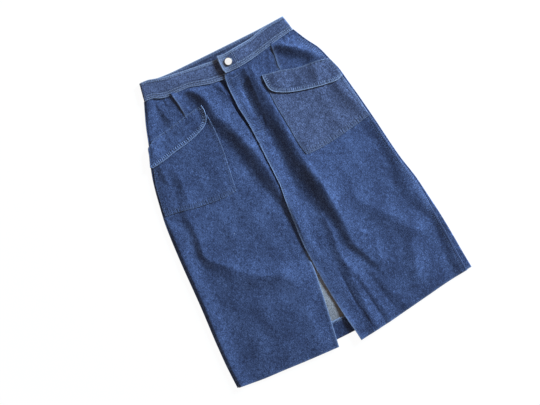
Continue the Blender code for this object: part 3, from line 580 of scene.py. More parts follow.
# Each fold: rows of up, across, height, and how far it slopes away to the wearer's right and left.
FOLDS = {
    "from the band beside the fly": (
        (-225, 88, 0, 16, 40), (-190, 80, 0.8, 18, 40), (-150, 68, 1.4, 22, 42), (-125, 56, 1.8, 26, 42),
        (-100, 53, 2.2, 32, 44), (-50, 55, 3.0, 44, 44), (0, 54, 3.6, 48, 44), (50, 46, 3.6, 52, 44),
        (100, 36, 3.6, 49, 44), (150, 32, 3.8, 48, 46), (200, 34, 3.0, 54, 46), (250, 29, 1.8, 48, 34),
        (280, 26, 1.0, 37, 30), (305, 25, 0.8, 26, 30), (330, 20, 0.6, 18, 24)),
    "its long slope to the side": (
        (-225, 88, 0, 16, 60), (-190, 80, 1.2, 18, 60), (-150, 68, 2.0, 22, 70), (-125, 56, 2.8, 26, 90),
        (-100, 53, 3.8, 32, 120), (-50, 55, 5.6, 44, 150), (0, 54, 7.0, 48, 160), (50, 46, 7.2, 52, 165),
        (100, 36, 7.4, 49, 165), (150, 32, 7.2, 48, 165), (200, 34, 7.6, 54, 160), (250, 29, 7.8, 48, 160),
        (280, 26, 7.4, 36, 150), (305, 25, 6.4, 29, 130), (320, 22, 4.4, 25, 110), (335, 20, 2.2, 22, 90)),
    "from the right pleat to the seam": (
        (-90, -36, 0, 12, 30), (-40, -36, 1.8, 15, 30), (10, -35, 2.8, 17, 30), (50, -37, 4.4, 28, 36),
        (75, -38, 6.0, 38, 40), (100, -40, 7.0, 42, 46), (125, -44, 7.4, 42, 52), (150, -50, 7.4, 42, 60),
        (175, -60, 7.0, 36, 70), (200, -65, 7.2, 40, 76), (225, -71, 7.0, 44, 84), (250, -84, 7.0, 40, 90),
        (275, -88, 6.4, 31, 84), (300, -95, 5.8, 28, 70), (320, -108, 4.8, 23, 56), (336, -118, 3.6, 18, 40)),
    "beside the fly, high": (
        (250, -42, 0, 10, 8), (275, -44, 1.4, 12, 12), (300, -50, 1.8, 14, 16), (320, -62, 1.6, 14, 20),
        (335, -68, 0, 10, 16)),
    "its inner edge, beside the fly's row": (
        (200, 10, 0, 16, 16), (230, 10, 0.9, 18, 18), (270, 11, 1.3, 18, 16), (300, 12, 1.7, 17, 14),
        (322, 12, 1.8, 16, 12), (334, 12, 0, 14, 12)),
    "left hip": (
        (250, 186, 0, 30, 20), (268, 171, 5.4, 46, 40), (288, 153, 7.8, 46, 56), (308, 131, 8.4, 44, 60),
        (322, 112, 8.2, 38, 56), (335, 98, 7.0, 30, 50), (347, 90, 0, 20, 40)),
    "left flap": (
        (214, 145, 0, 14, 16), (232, 147, 1.4, 18, 20), (252, 151, 2.4, 24, 28), (268, 160, 0, 18, 16)),
    "right hip": (
        (270, -180, 0, 14, 24), (300, -185, 1.8, 15, 28), (325, -190, 1.4, 14, 26), (345, -194, 0, 12, 20)),
    "right pocket, outer": (
        (160, -244, 0, 12, 20), (175, -245, 1.6, 14, 24), (200, -247, 1.8, 14, 24), (218, -248, 0, 12, 20)),
    "right pocket": (
        (95, -228, 0, 20, 30), (130, -222, 2.4, 24, 36), (160, -219, 2.6, 24, 36), (185, -221, 1.8, 18, 34),
        (200, -222, 0, 16, 30)),
    "left pocket": (
        (100, 146, 0, 26, 18), (130, 145, 1.2, 30, 24), (180, 144, 1.3, 30, 24), (215, 142, 0, 26, 18)),
    "left pocket, outer": (
        (110, 204, 0, 18, 14), (135, 198, 1.2, 20, 16), (165, 188, 1.8, 22, 20), (195, 178, 1.8, 22, 22),
        (216, 174, 0, 18, 20)),
    "across the right thigh": (
        (-215, -80, 0, 30, 30), (-175, -88, 1.0, 34, 46), (-145, -96, 2.2, 56, 66), (-120, -116, 3.0, 84, 76),
        (-105, -146, 3.4, 96, 76), (-90, -172, 3.6, 80, 70), (-65, -196, 3.6, 52, 60),
        (-45, -214, 3.4, 38, 50), (-25, -236, 3.2, 26, 44), (0, -248, 3.2, 17, 40), (25, -245, 3.2, 19, 40),
        (60, -241, 3.0, 20, 40), (100, -241, 2.0, 18, 36), (118, -241, 0, 14, 30)),
    "right skirt, low": (
        (-330, -110, 1.5, 180, 90), (-230, -106, 2.4, 180, 90), (-150, -98, 2.8, 160, 90),
        (-110, -112, 2.0, 130, 70), (-60, -130, 0, 110, 60)),
    "left of the slit": (
        (-330, 12, 2.4, 19, 30), (-300, 13, 2.6, 20, 32), (-250, 18, 1.8, 21, 34), (-200, 18, 2.3, 22, 32),
        (-150, 21, 2.6, 20, 28), (-125, 21, 2.8, 20, 26), (-100, 22, 3.0, 19, 20), (-75, 22, 2.6, 18, 16),
        (-50, 20, 1.6, 18, 14), (-25, 22, 0, 12, 12)),
    "beside it at the hem": (
        (-330, 24, 0.9, 10, 16), (-300, 21, 0.9, 10, 16), (-270, 18, 0.4, 8, 12), (-245, 17, 0, 8, 10)),
    "second from the slit": (
        (-330, 54, 1.7, 15, 24), (-290, 49, 1.9, 16, 26), (-260, 45, 1.8, 16, 26), (-225, 39, 1.7, 16, 22),
        (-205, 35, 1.5, 14, 20), (-165, 25, 1.0, 12, 16), (-150, 22, 0, 10, 12)),
    "third from the slit": (
        (-330, 106, 1.0, 15, 36), (-300, 96, 1.4, 16, 36), (-260, 83, 1.2, 16, 36), (-235, 75, 1.4, 16, 32),
        (-205, 66, 1.2, 15, 26), (-190, 62, 0, 11, 18)),
    "short, under the long fold": (
        (-200, 88, 0, 12, 22), (-185, 93, 1.5, 18, 26), (-160, 99, 1.6, 18, 26), (-140, 102, 0, 12, 20)),
    "from the left thigh to the knee": (
        (-180, 204, 0, 34, 34), (-165, 194, 2.4, 44, 44), (-150, 182, 3.2, 48, 50), (-125, 164, 3.2, 50, 56),
        (-100, 146, 3.0, 46, 60), (-80, 131, 2.6, 40, 60), (-60, 116, 2.0, 30, 54), (-40, 106, 1.2, 22, 44),
        (-10, 98, 0, 18, 34)),
    "left knee, lower": (
        (-275, 132, 0, 24, 34), (-262, 140, 1.5, 26, 38), (-240, 152, 2.4, 31, 46), (-215, 160, 3.0, 34, 50),
        (-190, 168, 3.0, 34, 46), (-168, 178, 1.9, 33, 38), (-155, 184, 0, 28, 30)),
}
# The cloth stands up over the turnings of the side seams and sags beside them: up, the crest's place
# from the seam, its height, the width of its flank and the sag's depth.
RIDGE_RIGHT = ((-330, 5, 2.6, 30, 1.1), (-200, 5, 2.8, 32, 1.1), (-100, 6, 2.8, 32, 1.0),
               (0, 6, 2.6, 28, 0.8), (60, 6, 2.0, 24, 0.4), (110, 5, 0, 14, 0), (215, 5, 0, 20, 0),
               (240, 4, 0.6, 30, 0.8), (300, 4, 0.6, 30, 2.0), (335, 4, 0.6, 28, 1.6),
               (350, 4, 0.4, 26, 1.0))
RIDGE_LEFT = ((-330, 3, 2.6, 34, 1.2), (-250, 3, 2.3, 27, 1.2), (-200, 2, 1.5, 17, 1.2),
              (-160, 2.5, 1.6, 15, 0.6), (-130, 6, 2.4, 26, 0.3), (-100, 9, 3.8, 42, 0),
              (-50, 8, 3.8, 40, 0), (0, 3.5, 3.4, 27, 0), (50, 2.5, 3.2, 28, 0), (100, 3, 2.4, 36, 0),
              (150, 5, 1.0, 30, 0), (200, 5, 0.6, 24, 0), (240, 5, 0, 22, 0))
SAG_REACH = 40.0
# Each pleat: rows of up, across, depth of its edge.
PLEAT_RIGHT = ((-330, -140, 0), (276, -150, 0), (290, -150, 0.9), (312, -151.5, 1.5), (340, -156, 1.8))
PLEAT_LEFT = ((-330, 110, 0), (274, 80, 0), (288, 79, 0.7), (312, 82.5, 0.8), (342, 85.5, 1.0))
PLEAT_RISER, PLEAT_GROOVE, PLEAT_RUNOUT = 0.8, 3.0, 17.0

# Small creases: a line through a few places, then its height and its half width.
CREASES_LEFT = (
    (((66, 330), (52, 310), (44, 290)), 0.7, 3.5),
    (((52, 328), (40, 312), (34, 296)), 0.7, 3.5),
    (((76, 328), (66, 308), (60, 288)), 0.7, 4.0),
    (((36, 326), (28, 314), (24, 300)), 0.6, 3.5),
    (((-30, 318), (-12, 322), (4, 318)), 0.5, 4.0),
    (((76, -106), (88, -118), (100, -126)), 0.9, 5.0),
    (((85, 70), (110, 25), (140, -15)), 0.8, 14.0),
    (((-31, 178), (-18, 172), (-6, 177)), 0.8, 2.6),
    (((-34, 184), (-24, 181), (-12, 183)), -0.9, 1.8),
    (((-18, 300), (-17, 250), (-19, 205)), 0.45, 3.0),
    (((-12, 290), (-12, 240), (-13, 200)), -0.45, 2.4),
    (((-24, 262), (-23, 240), (-24, 212)), 0.4, 2.4),
    (((2, 214), (-2, 190), (-12, 172)), -0.7, 2.4),
    (((-1, -150), (1, -230), (4, -280), (6, -322)), -0.8, 2.6),
    (((7, -255), (9, -290), (13, -322)), -0.9, 2.0),
    (((27, -195), (32, -240), (38, -285), (42, -318)), -0.6, 2.6),
    (((60, -235), (70, -275), (78, -312)), -0.5, 2.8),
    (((-31, 164), (-16, 159), (0, 150)), 0.6, 5.0),
    (((-30, 150), (-14, 143), (2, 130)), -0.5, 5.0),
    (((-34, 214), (-22, 206), (-12, 212)), 0.45, 5.0),
    (((-33, 214), (-24, 211), (-14, 206)), -1.0, 1.8),
    (((-31, 324), (-20, 320.5), (-8, 320)), 0.9, 2.2),
    (((-30, 316), (-18, 313.5), (-6, 315)), -0.6, 2.0),
    (((62, 325), (58, 305), (50, 290)), -0.6, 7.0),
    (((70, 334), (68, 318), (64, 300)), -0.5, 2.2),
    (((46, 330), (44, 316), (40, 304)), -0.5, 2.2),
    (((20, 325), (18, 312), (17, 300)), -0.5, 2.2),
    (((116, 342), (114, 332), (116, 322)), -0.5, 2.2),
    (((130, 346), (128, 336), (129, 326)), -0.45, 2.0),
    (((46, 88), (40, 60), (37, 20)), 0.5, 8.0),
    (((66, 84), (84, 30), (96, -20)), 0.6, 11.0),
    (((150, 92), (148, 40), (140, -10)), 0.7, 14.0),
    (((196, 96), (204, 40), (206, -20)), -0.6, 10.0),
    (((-36, -60), (-20, -110), (-14, -160)), 0.5, 6.0),
    (((-20, -180), (-14, -240), (-6, -300)), -0.4, 7.0),
)
CREASES_RIGHT = (
    (((-60, 314), (-64, 290), (-60, 262)), -0.6, 7.0),
    (((-70, 324), (-72, 308), (-70, 294)), 0.5, 2.4),
    (((-84, 328), (-84, 314), (-80, 300)), -0.5, 2.2),
    (((-176, 342), (-178, 328), (-176, 316)), -0.5, 2.4),
    (((-194, 346), (-196, 330), (-200, 318)), -0.5, 2.4),
    (((-148, 290), (-158, 284), (-166, 276)), -0.6, 3.0),
    (((-138, 300), (-136, 292), (-135, 284)), 0.5, 3.0),
    (((-290, 96), (-268, 60), (-255, 20)), 0.6, 9.0),
    (((-180, 84), (-172, 40), (-175, -10)), 0.6, 14.0),
    (((-130, 84), (-118, 30), (-96, -20)), 0.7, 14.0),
    (((-90, 60), (-72, 10), (-62, -50)), 0.6, 12.0),
    (((-230, -110), (-190, -170), (-185, -240)), 0.6, 16.0),
    (((-90, -180), (-100, -240), (-96, -300)), 0.5, 12.0),
)
# Wrinkles: their size across and up, their height, and the seed of each.
WRINKLES = ((60, 120, 0.95, 1.7), (24, 52, 0.42, 5.3), (9, 15, 0.16, 9.1))


def fold_height(across, up):
    """Sum of the folds; their lines wander a little."""
    wander = 1.5 * np.sin(up / 31 + across / 87) + 1.1 * np.sin(up / 17.3 + across / 53 + 2.1)
    height = np.zeros(np.shape(across))
    for rows in FOLDS.values():
        off = across + wander - along(rows, up)
        width = np.where(off > 0, along(rows, up, 4), along(rows, up, 3))
        away = np.clip(np.abs(off / width), 0, 1)
        # Hollow on the wearer's left of the crest, round on the right.
        bump = np.where(off > 0, (1 - away) ** 1.6, 0.5 + 0.5 * np.cos(np.pi * away ** 0.85))
        inside = (up > rows[0][0]) & (up < rows[-1][0])
        height += np.where(inside, along(rows, up, 2) * bump, 0)
    return height


def pleat_height(across, up):
    """Each pleat rises steeply to its edge and runs out towards the wearer's left."""
    height = np.zeros(np.shape(across))
    for pleat in (PLEAT_RIGHT, PLEAT_LEFT):
        off = across - along(pleat, up)
        rise = np.where(off < 0, (off + PLEAT_RISER) / PLEAT_RISER, 1 - ramp(off, 0, PLEAT_RUNOUT))
        height += along(pleat, up, 2) * np.clip(rise, 0, 1)
    return height


def right_seam(up):
    return along(SIDE_RIGHT, up) + along(WRAP_RIGHT, up)


def left_seam(up):
    return along(SIDE_LEFT, up) - along(WRAP_LEFT, up)


def side_ridge(table, from_seam, up):
    """The cloth's height beside a side seam: up to the crest, down to the sag and level again."""
    crest, tall, width, sag = (along(table, up, k) for k in (1, 2, 3, 4))
    off = np.maximum(from_seam, 0)
    rise = np.where(off < crest, tall * np.sin(np.pi / 2 * off / crest),
                    blend(tall, -sag, ramp(off, crest, crest + width)))
    return rise + sag * ramp(off, crest + width, crest + width + SAG_REACH)


def front_under(across, up):
    """Underside of the front layer, where a front lies on the back."""
    from_right = across - right_seam(up)
    from_left = left_seam(up) - across
    settle = 1 - np.exp(-np.maximum(np.minimum(from_right, from_left), 0) / SHOULDER)
    foot = np.where(across < FLY_SIDE, along(BAND_FOOT_RIGHT, across), along(BAND_FOOT_LEFT, across))
    at_waist = ramp(up, foot - WAIST_RUN, foot)
    folds = fold_height(across, up) * (1 - ramp(up, foot - FOLD_FADE[0], foot - FOLD_FADE[1]))
    ridges = side_ridge(RIDGE_RIGHT, from_right, up) + side_ridge(RIDGE_LEFT, from_left, up)
    return EDGE_UNDER + settle * (WAIST_RISE * at_waist + folds + pleat_height(across, up)) + ridges


def left_under(across, up):
    """The left front laps over the right one, lifts along the fly and sinks along the slit."""
    off = across - along(EDGE_OF_LEFT, up)
    over_underlap = ramp(up, *UNDERLAP_FOOT)
    width = blend(SEAM_LAP, UNDERLAP_WIDTH, over_underlap)
    rise = LAP_RISE + UNDERLAP_RISE * over_underlap
    lap = rise * (1 - ramp(off, width, width + LAP_RUNOUT)) * (1 - ramp(-up, *LAP_ENDS))
    gape = ramp(up, *FLY_GAPE[:2]) * (1 - ramp(up, *FLY_GAPE[2:])) * (1 - ramp(off, 0, GAPE_RUNOUT))
    slit = along(SLIT_SINKS, up) * np.exp(-np.maximum(off, 0) / SLIT_RUNOUT)
    return front_under(across, up) + lap + FLY_LIFT * gape - slit


def top_of(under, thickness, gap=0.0):
    """The upper face of a wall of the given thickness on an underside."""
    step = 0.5

    def top(across, up):
        slope_across = (under(across + step, up) - under(across - step, up)) / (2 * step)
        slope_up = (under(across, up + step) - under(across, up - step)) / (2 * step)
        return under(across, up) + gap + thickness * np.sqrt(1 + slope_across ** 2 + slope_up ** 2)
    return top


def drawn(points, step=4.0):
    """A smooth line through a few places, as places every few millimetres."""
    walked = walk(points)
    at = np.linspace(0, walked[-1], max(3, int(walked[-1] / step) + 1))
    rows = np.column_stack([walked, points])
    return np.column_stack([along(rows, at, 1), along(rows, at, 2)])


def beside(line, off):
    """The line moved to its left as it runs, or to its right where off is negative."""
    way = np.gradient(line, axis=0)
    way = way / np.hypot(way[:, 0], way[:, 1])[:, None]
    return line + off * np.column_stack([-way[:, 1], way[:, 0]])


def nearest(lines, across, up):
    """Distance to the nearest of the lines, and the length walked along it."""
    best = np.full(np.shape(across), FAR)
    run = np.zeros(np.shape(across))
    for line in lines:
        start = 0.0
        for a, b in zip(line, line[1:]):
            way = b - a
            length = max(np.hypot(*way), 1e-6)
            t = np.clip(((across - a[0]) * way[0] + (up - a[1]) * way[1]) / length ** 2, 0, 1)
            off = np.hypot(across - a[0] - t * way[0], up - a[1] - t * way[1])
            closer = off < best
            best = np.where(closer, off, best)
            run = np.where(closer, start + t * length, run)
            start += length
    return best, run


def wrinkled(across, up):
    return sum(tall * waver(across, up, wide, long, seed) for wide, long, tall, seed in WRINKLES)


def creased(across, up, creases):
    """Sum of the small creases, each dying out towards its ends."""
    height = np.zeros(np.shape(across))
    for points, tall, width in creases:
        line = drawn(points, 8.0)
        off, run = nearest([line], across, up)
        length = np.hypot(*np.diff(line, axis=0).T).sum()
        fade = np.sin(np.pi * np.clip(run / length, 0, 1))
        height = height + tall * np.exp(-(off / width) ** 2) * np.clip(fade, 0, 1) ** 0.7
    return height


def puckered(off, run, reach=5.0, tall=0.22, beat=6.3):
    """Short ripples across a row of stitches."""
    return tall * np.exp(-(off / reach) ** 2) * np.sin(2 * np.pi * run / beat + 1.3 * np.sin(run / 19))


def line_at(table, up):
    """An edge's table as a line of places at these heights up the skirt."""
    return np.column_stack([along(table, up), up])


FLY_ROW = drawn(((-8, 318), (-8, 275), (-8.5, 215), (-9, 185), (-13, 169), (-22, 160), (-33, 157)))
FLY_EDGE_ROW = drawn(((-28.5, 320), (-29, 290), (-28, 240), (-26.5, 200), (-26.5, 172)))
EDGE_LINE_LEFT = line_at(EDGE_OF_LEFT, np.arange(326, -324, -5.0))
EDGE_LINE_RIGHT = line_at(EDGE_OF_RIGHT, np.arange(-96, -318, -5.0))
SEAM_UP = np.arange(328, -292, -5.0)
SEAM_LINE = np.column_stack([left_seam(SEAM_UP) - SEAM_GAP / 2, SEAM_UP])
SEAM_ROWS = [beside(SEAM_LINE, -1.4), beside(SEAM_LINE, -8.0)]
BELOW_FLY = EDGE_LINE_LEFT[EDGE_LINE_LEFT[:, 1] < 150]
JOIN_ROW = beside(BELOW_FLY[BELOW_FLY[:, 1] > -92], 2.2)
ROWS_LEFT = [FLY_ROW, FLY_EDGE_ROW, JOIN_ROW, *SEAM_ROWS]
PLEAT_EDGES = [line_at(pleat, np.arange(282, 336, 5.0)) + (0.6, 0) for pleat in (PLEAT_RIGHT, PLEAT_LEFT)]
FRONT_TURNING = 52.0
EDGE_STANDS, HEM_STANDS, ROW_SINKS = 0.35, 0.25, 0.4


def front_relief(across, up, creases, edge_line, hem, rows):
    """Everything finer than the folds, with the distances that the finish reads."""
    edge, edge_run = nearest([edge_line], across, up)
    row, run = nearest(rows, across, up) if rows else (np.full_like(across, FAR), edge_run)
    above_hem = up - along(hem, across)
    lines = creased(across, up, creases)
    relief = wrinkled(across, up) + lines
    relief = relief + puckered(row, run) + puckered(edge, edge_run, 4.0, 0.07, 9.7)
    relief = relief + EDGE_STANDS * (1 - ramp(edge, 6, 9))
    relief = relief + HEM_STANDS * (1 - ramp(above_hem, FRONT_TURNING - 3, FRONT_TURNING + 3))
    relief = relief - ROW_SINKS * np.exp(-(row / 1.3) ** 2)
    pleat, _ = nearest(PLEAT_EDGES, across, up)
    worn = np.minimum(np.minimum(edge, above_hem + 1.0), pleat + 0.3)
    run = np.where(row < edge, run, edge_run)
    painted_groove_shade = sum(np.exp(-((across - along(pleat, up) + 1.6) / 1.4) ** 2) * ramp(up, 276, 292)
                 for pleat in (PLEAT_RIGHT, PLEAT_LEFT))
    # Painted light and shade: small creases are painted paler on top and darker in their hollows, and the
    # groove beside each pleat is painted darkest.
    shade = 0.16 * np.clip(lines, -1.2, 0.8) - 0.4 * painted_groove_shade
    return relief, {"edge": worn, "row": row, "run": run, "tick": 0.45 * np.exp(-(row / 4) ** 2),
                    "shade": shade}


def left_finish(across, up):
    return front_relief(across, up, CREASES_LEFT, EDGE_LINE_LEFT, HEM_LEFT, ROWS_LEFT)


def right_finish(across, up):
    return front_relief(across, up, CREASES_RIGHT, EDGE_LINE_RIGHT, HEM_RIGHT, [])


def sampled(surface, across_range, up_range, step=2.0):
    """The same surface, read from a net of its heights; what is laid or sewn on it uses this."""
    across = np.arange(across_range[0], across_range[1] + step, step)
    up = np.arange(up_range[0], up_range[1] + step, step)
    net = surface(*np.meshgrid(across, up))

    def read(at_across, at_up):
        x = np.clip((at_across - across[0]) / step, 0, len(across) - 1.001)
        y = np.clip((at_up - up[0]) / step, 0, len(up) - 1.001)
        i, j = x.astype(int), y.astype(int)
        low = blend(net[j, i], net[j, i + 1], x - i)
        high = blend(net[j + 1, i], net[j + 1, i + 1], x - i)
        return blend(low, high, y - j)
    return read


left_top_smooth = top_of(left_under, CLOTH)
right_top_smooth = top_of(front_under, CLOTH)
left_top = sampled(lambda a, u: left_top_smooth(a, u) + left_finish(a, u)[0], (-50, 268), (-324, 340))
right_top = sampled(lambda a, u: right_top_smooth(a, u) + right_finish(a, u)[0], (-312, -20), (-320, 352))


# Patches of wear and of painted light and shade, darker where folds, gaps and flap edges fall in shade and
# paler on some ridges: the middle across and up, half the size each way, how much paler.
WEAR_AND_PAINTED_LIGHT_PATCHES = (
    (-205, 315, 36, 34, 0.11), (-56, 225, 14, 45, -0.06), (-95, 0, 22, 40, -0.07), (-95, -200, 36, 55, -0.08),
    (-6, 240, 7, 70, -0.13), (16, 325, 24, 9, -0.2), (68, 303, 34, 18, -0.14), (134, 310, 26, 20, -0.15),
    (160, 286, 12, 16, -0.1), (96, 294, 30, 13, -0.14), (102, 50, 34, 32, -0.08), (80, 270, 16, 8, -0.06),
    (128, 8, 60, 60, -0.09), (-24, -190, 17, 100, 0.19), (85, -95, 14, 22, 0.06), (197, -100, 13, 42, -0.12),
    (30, -290, 8, 26, -0.08), (-35, 222, 4, 5, -0.4), (-31, 181, 5, 4, -0.5), (-43, -97, 4, 5, -0.4),
    (-17, 250, 4, 60, 0.03), (74, 115, 13, 36, -0.12), (165, 200, 15, 22, -0.13), (188, 200, 9, 30, -0.1),
    (-165, 105, 30, 32, 0.1), (-118, 105, 8, 22, -0.08), (-110, 200, 6, 34, -0.12), (135, 262, 22, 13, -0.12),
    (90, 248, 16, 12, 0.06), (50, 268, 12, 20, -0.06), (4, 315, 12, 8, -0.12), (-2, 289, 8, 8, 0.14),
    (19, 205, 7, 50, -0.2), (60, 275, 24, 13, -0.12), (56, 240, 6, 10, -0.12), (68, 200, 10, 22, -0.12),
    (92, 315, 6, 8, -0.35), (142, 277, 12, 12, -0.15), (-182, 276, 30, 12, 0.2), (-140, 240, 12, 8, -0.1),
    (-178, 225, 14, 8, -0.1), (-20, 321, 10, 2.5, 0.2), (-24, 210, 9, 3, -0.14), (-55, 195, 10, 20, -0.08),
    (-88, 238, 10, 22, -0.06))


# The patches of wear and painted light and shade, summed.
def wear_and_painted_light(across, up):
    return sum(amount * np.exp(-((across - x) / wide) ** 2 - ((up - y) / tall) ** 2)
               for x, y, wide, tall, amount in WEAR_AND_PAINTED_LIGHT_PATCHES)


FRONT_WORN = ((-320, 0.02), (-285, 0.02), (-260, 0), (-45, 0), (-38, -0.03), (0, -0.02), (45, 0),
              (75, -0.05), (170, -0.05), (235, -0.02))
LEFT_SEAM_DARKENING = ((-330, -0.32), (-150, -0.32), (-110, -0.12), (-50, -0.1), (-10, -0.2), (110, -0.2), (352, -0.1))


FRONT_ROWS = 330
TOP_GUESS, HEM_GUESS = 335.0, -305.0      # how far up the band's foot and the hem are, to begin with


def front(name, guides, cells, foot, hem, smooth, finish):
    """Columns run down between guide lines, rows across from inside the band to the hem."""
    columns = sum(cells)
    starts = np.concatenate([[0], np.cumsum(cells)])

    def column(u, up):
        at = u * columns
        k = np.clip(np.searchsorted(starts, at + 1e-6, side="right") - 1, 0, len(cells) - 1)
        lines = np.stack([guide(up) for guide in guides])
        pick = np.arange(len(u))
        return blend(lines[k, pick], lines[k + 1, pick], (at - starts[k]) / np.array(cells)[k])

    def place(u, v):
        first = np.full_like(u, TOP_GUESS)
        for _ in range(ROUNDS):
            first = along(foot, column(u, first)) + INTO_BAND
        last = along(hem, column(u, np.full_like(u, HEM_GUESS)))
        up = blend(first, last, v)
        across = column(u, up)
        relief, marks = finish(across, up)
        # Cloudy wear, and painted light: the folds' crests are painted paler. Then the wear across the skirt,
        # the cloth darker down the left side seam, and a darker strip beside that seam near the hem.
        crest = np.clip(fold_height(across, up) / 9, 0, 1)
        fade = 0.08 * waver(across, up, 60, 90, 2.5) + 0.05 * crest - 0.02
        from_seam = left_seam(up) - across
        fade = fade + along(FRONT_WORN, across) + along(LEFT_SEAM_DARKENING, up) * (1 - ramp(from_seam, 4, 10))
        fade = fade - 0.18 * (1 - ramp(from_seam, 16, 28)) * ramp(-up, 120, 180)
        # Then the patches of wear and painted light and shade, and the creases' painted light and shade.
        fade = fade + wear_and_painted_light(across, up) + marks.pop("shade")
        return {"across": across, "up": up, "height": smooth(across, up) + relief, "fade": fade, **marks}

    return sheet_of(name, columns, FRONT_ROWS, place, INDIGO, WRONG_SIDE)


def beside_pleat(pleat, off):
    return lambda up: along(pleat, up) + off


front_right = front(
    "front_right_panel",
    (lambda up: right_seam(up) + SEAM_GAP / 2,
     beside_pleat(PLEAT_RIGHT, -PLEAT_GROOVE), beside_pleat(PLEAT_RIGHT, -PLEAT_RISER),
     beside_pleat(PLEAT_RIGHT, 0), beside_pleat(PLEAT_RIGHT, 7), lambda up: along(EDGE_OF_RIGHT, up)),
    (56, 2, 2, 3, 44), BAND_FOOT_RIGHT, HEM_RIGHT, right_top_smooth, right_finish)
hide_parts("front_right")

front_left = front(
    "front_left_panel",
    (lambda up: along(EDGE_OF_LEFT, up), beside_pleat(PLEAT_LEFT, -PLEAT_GROOVE),
     beside_pleat(PLEAT_LEFT, -PLEAT_RISER), beside_pleat(PLEAT_LEFT, 0), beside_pleat(PLEAT_LEFT, 7),
     lambda up: left_seam(up) - SEAM_GAP / 2),
    (66, 2, 2, 3, 56), BAND_FOOT_LEFT, HEM_LEFT, left_top_smooth, left_finish)
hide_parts("front_left")

# ------------------------------------------------------------------------------------------------
# The fly's shield
# A strip of the same denim behind the fly, sewn to the right front's edge. It shows where the left
# front stands away from it.
# ------------------------------------------------------------------------------------------------
SHIELD_TOP, SHIELD_FOOT = 316.0, 152.0
SHIELD_SHOWS, SHIELD_REACH, SHIELD_LIMIT = 8.0, 26.0, 20.0
SHIELD_WIDENS = (190, 215)
SHIELD_ROW = 3.0


def shield_top(across, up):
    under = np.maximum(front_under(across, up) - CLOTH - LAY_GAP, CLOTH + SEAM_GAP)
    return under + CLOTH + 0.1 * waver(across, up, 8, 20, 3.3)


def place_shield(u, v):
    up = blend(SHIELD_TOP, SHIELD_FOOT, v)
    across = blend(along(EDGE_OF_RIGHT, up) - SHIELD_SHOWS * ramp(up, *SHIELD_WIDENS),
                   along(EDGE_OF_LEFT, up) + SHIELD_REACH, u)
    across = np.maximum(across, along(EDGE_OF_LEFT, up) - SHIELD_LIMIT)
    return {"across": across, "up": up, "height": shield_top(across, up),
            "fade": np.full_like(u, -0.2), "run": up,
            "row": np.abs(across - along(EDGE_OF_RIGHT, up) - SHIELD_ROW)}


shield = sheet_of("fly_shield_strip", 24, 80, place_shield, INDIGO, WRONG_SIDE)
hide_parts("fly_shield")

# ------------------------------------------------------------------------------------------------
# The waistband
# One strip cut along the warp, folded double and stitched flat: from the underlap behind the fly
# round the wearer's right side, the back and the left side to the tab that carries the button.
# ------------------------------------------------------------------------------------------------
BAND_TOP_RIGHT = ((-208, 390), (-190, 389), (-175, 385), (-150, 378), (-125, 374), (-75, 367),
                  (-33, 362), (5, 360))
BAND_TOP_LEFT = ((-34, 368.5), (-13, 365), (12, 367), (50, 370), (75, 376), (100, 380), (137, 382))
BAND_TOP_BACK = ((-208, 390), (-175, 384), (-125, 380.5), (0, 380), (50, 380), (137, 382))
BAND_DEPTH = 42.0
BAND_STEP = 2.15            # millimetres of band in each cell along it
BAND_REACH = BAND_FOLD + BAND_CLOTH / 2
UNDERLAP_END, TAB_END, TAB_BOW = -2.0, -30.0, 3.0
TAB_RISE, TAB_SLOPE = 5.0, (-8, 62)
BAND_ENDS = {"top": (BAND_TOP_BACK[0][0] + BAND_REACH, BAND_TOP_BACK[-1][0] - BAND_REACH),
             "foot": (BAND_FOOT_BACK[0][0] + BAND_REACH, BAND_FOOT_BACK[-1][0] - BAND_REACH)}
BAND_TABLES = {"top": (BAND_TOP_LEFT, BAND_TOP_BACK, BAND_TOP_RIGHT),
               "foot": (BAND_FOOT_LEFT, BAND_FOOT_BACK, BAND_FOOT_RIGHT)}
BAND_CELLS = (84, 8, 150, 8, 96)     # left front, fold, back, fold, right front
TOP_ROW, FOOT_ROWS = 4.8, (4.6, 9.4)
PAINTED_SHADE_DIPS = (2.4, 7.0, 12.2)     # above the foot: the cloth dips beside the rows, and the dips are painted dark as shade


def band_middle(across, on_left):
    """Height of the front layer's middle; the tab climbs over the layers under it."""
    tab = TAB_RISE * (1 - ramp(across, *TAB_SLOPE))
    return FRONT_BAND_MIDDLE + np.where(on_left, tab, 0)


def band_edge(side, step):
    """Where the strip's top or foot edge is, and the middle of its thickness there."""
    right_end, left_end = BAND_ENDS[side]
    left_table, back_table, right_table = BAND_TABLES[side]
    starts = np.cumsum((0,) + BAND_CELLS)
    part = np.clip(np.searchsorted(starts, step + 1e-6, side="right") - 1, 0, 4)
    t = (step - starts[part]) / np.array(BAND_CELLS)[part]
    on_left = blend(TAB_END, left_end, t)
    on_back = blend(left_end, right_end, t)
    on_right = blend(right_end, UNDERLAP_END, t)
    turn = np.pi * t
    across = np.choose(part, [on_left, left_end + BAND_FOLD * np.sin(turn), on_back,
                              right_end - BAND_FOLD * np.sin(turn), on_right])
    up = np.choose(part, [along(left_table, on_left), along(back_table, np.full_like(t, left_end)),
                          along(back_table, on_back), along(back_table, np.full_like(t, right_end)),
                          along(right_table, on_right)])
    fold = BACK_BAND_MIDDLE + BAND_FOLD
    height = np.choose(part, [band_middle(on_left, True), fold + BAND_FOLD * np.cos(turn),
                              np.full_like(t, BACK_BAND_MIDDLE), fold - BAND_FOLD * np.cos(turn),
                              band_middle(on_right, False)])
    return across, up, height


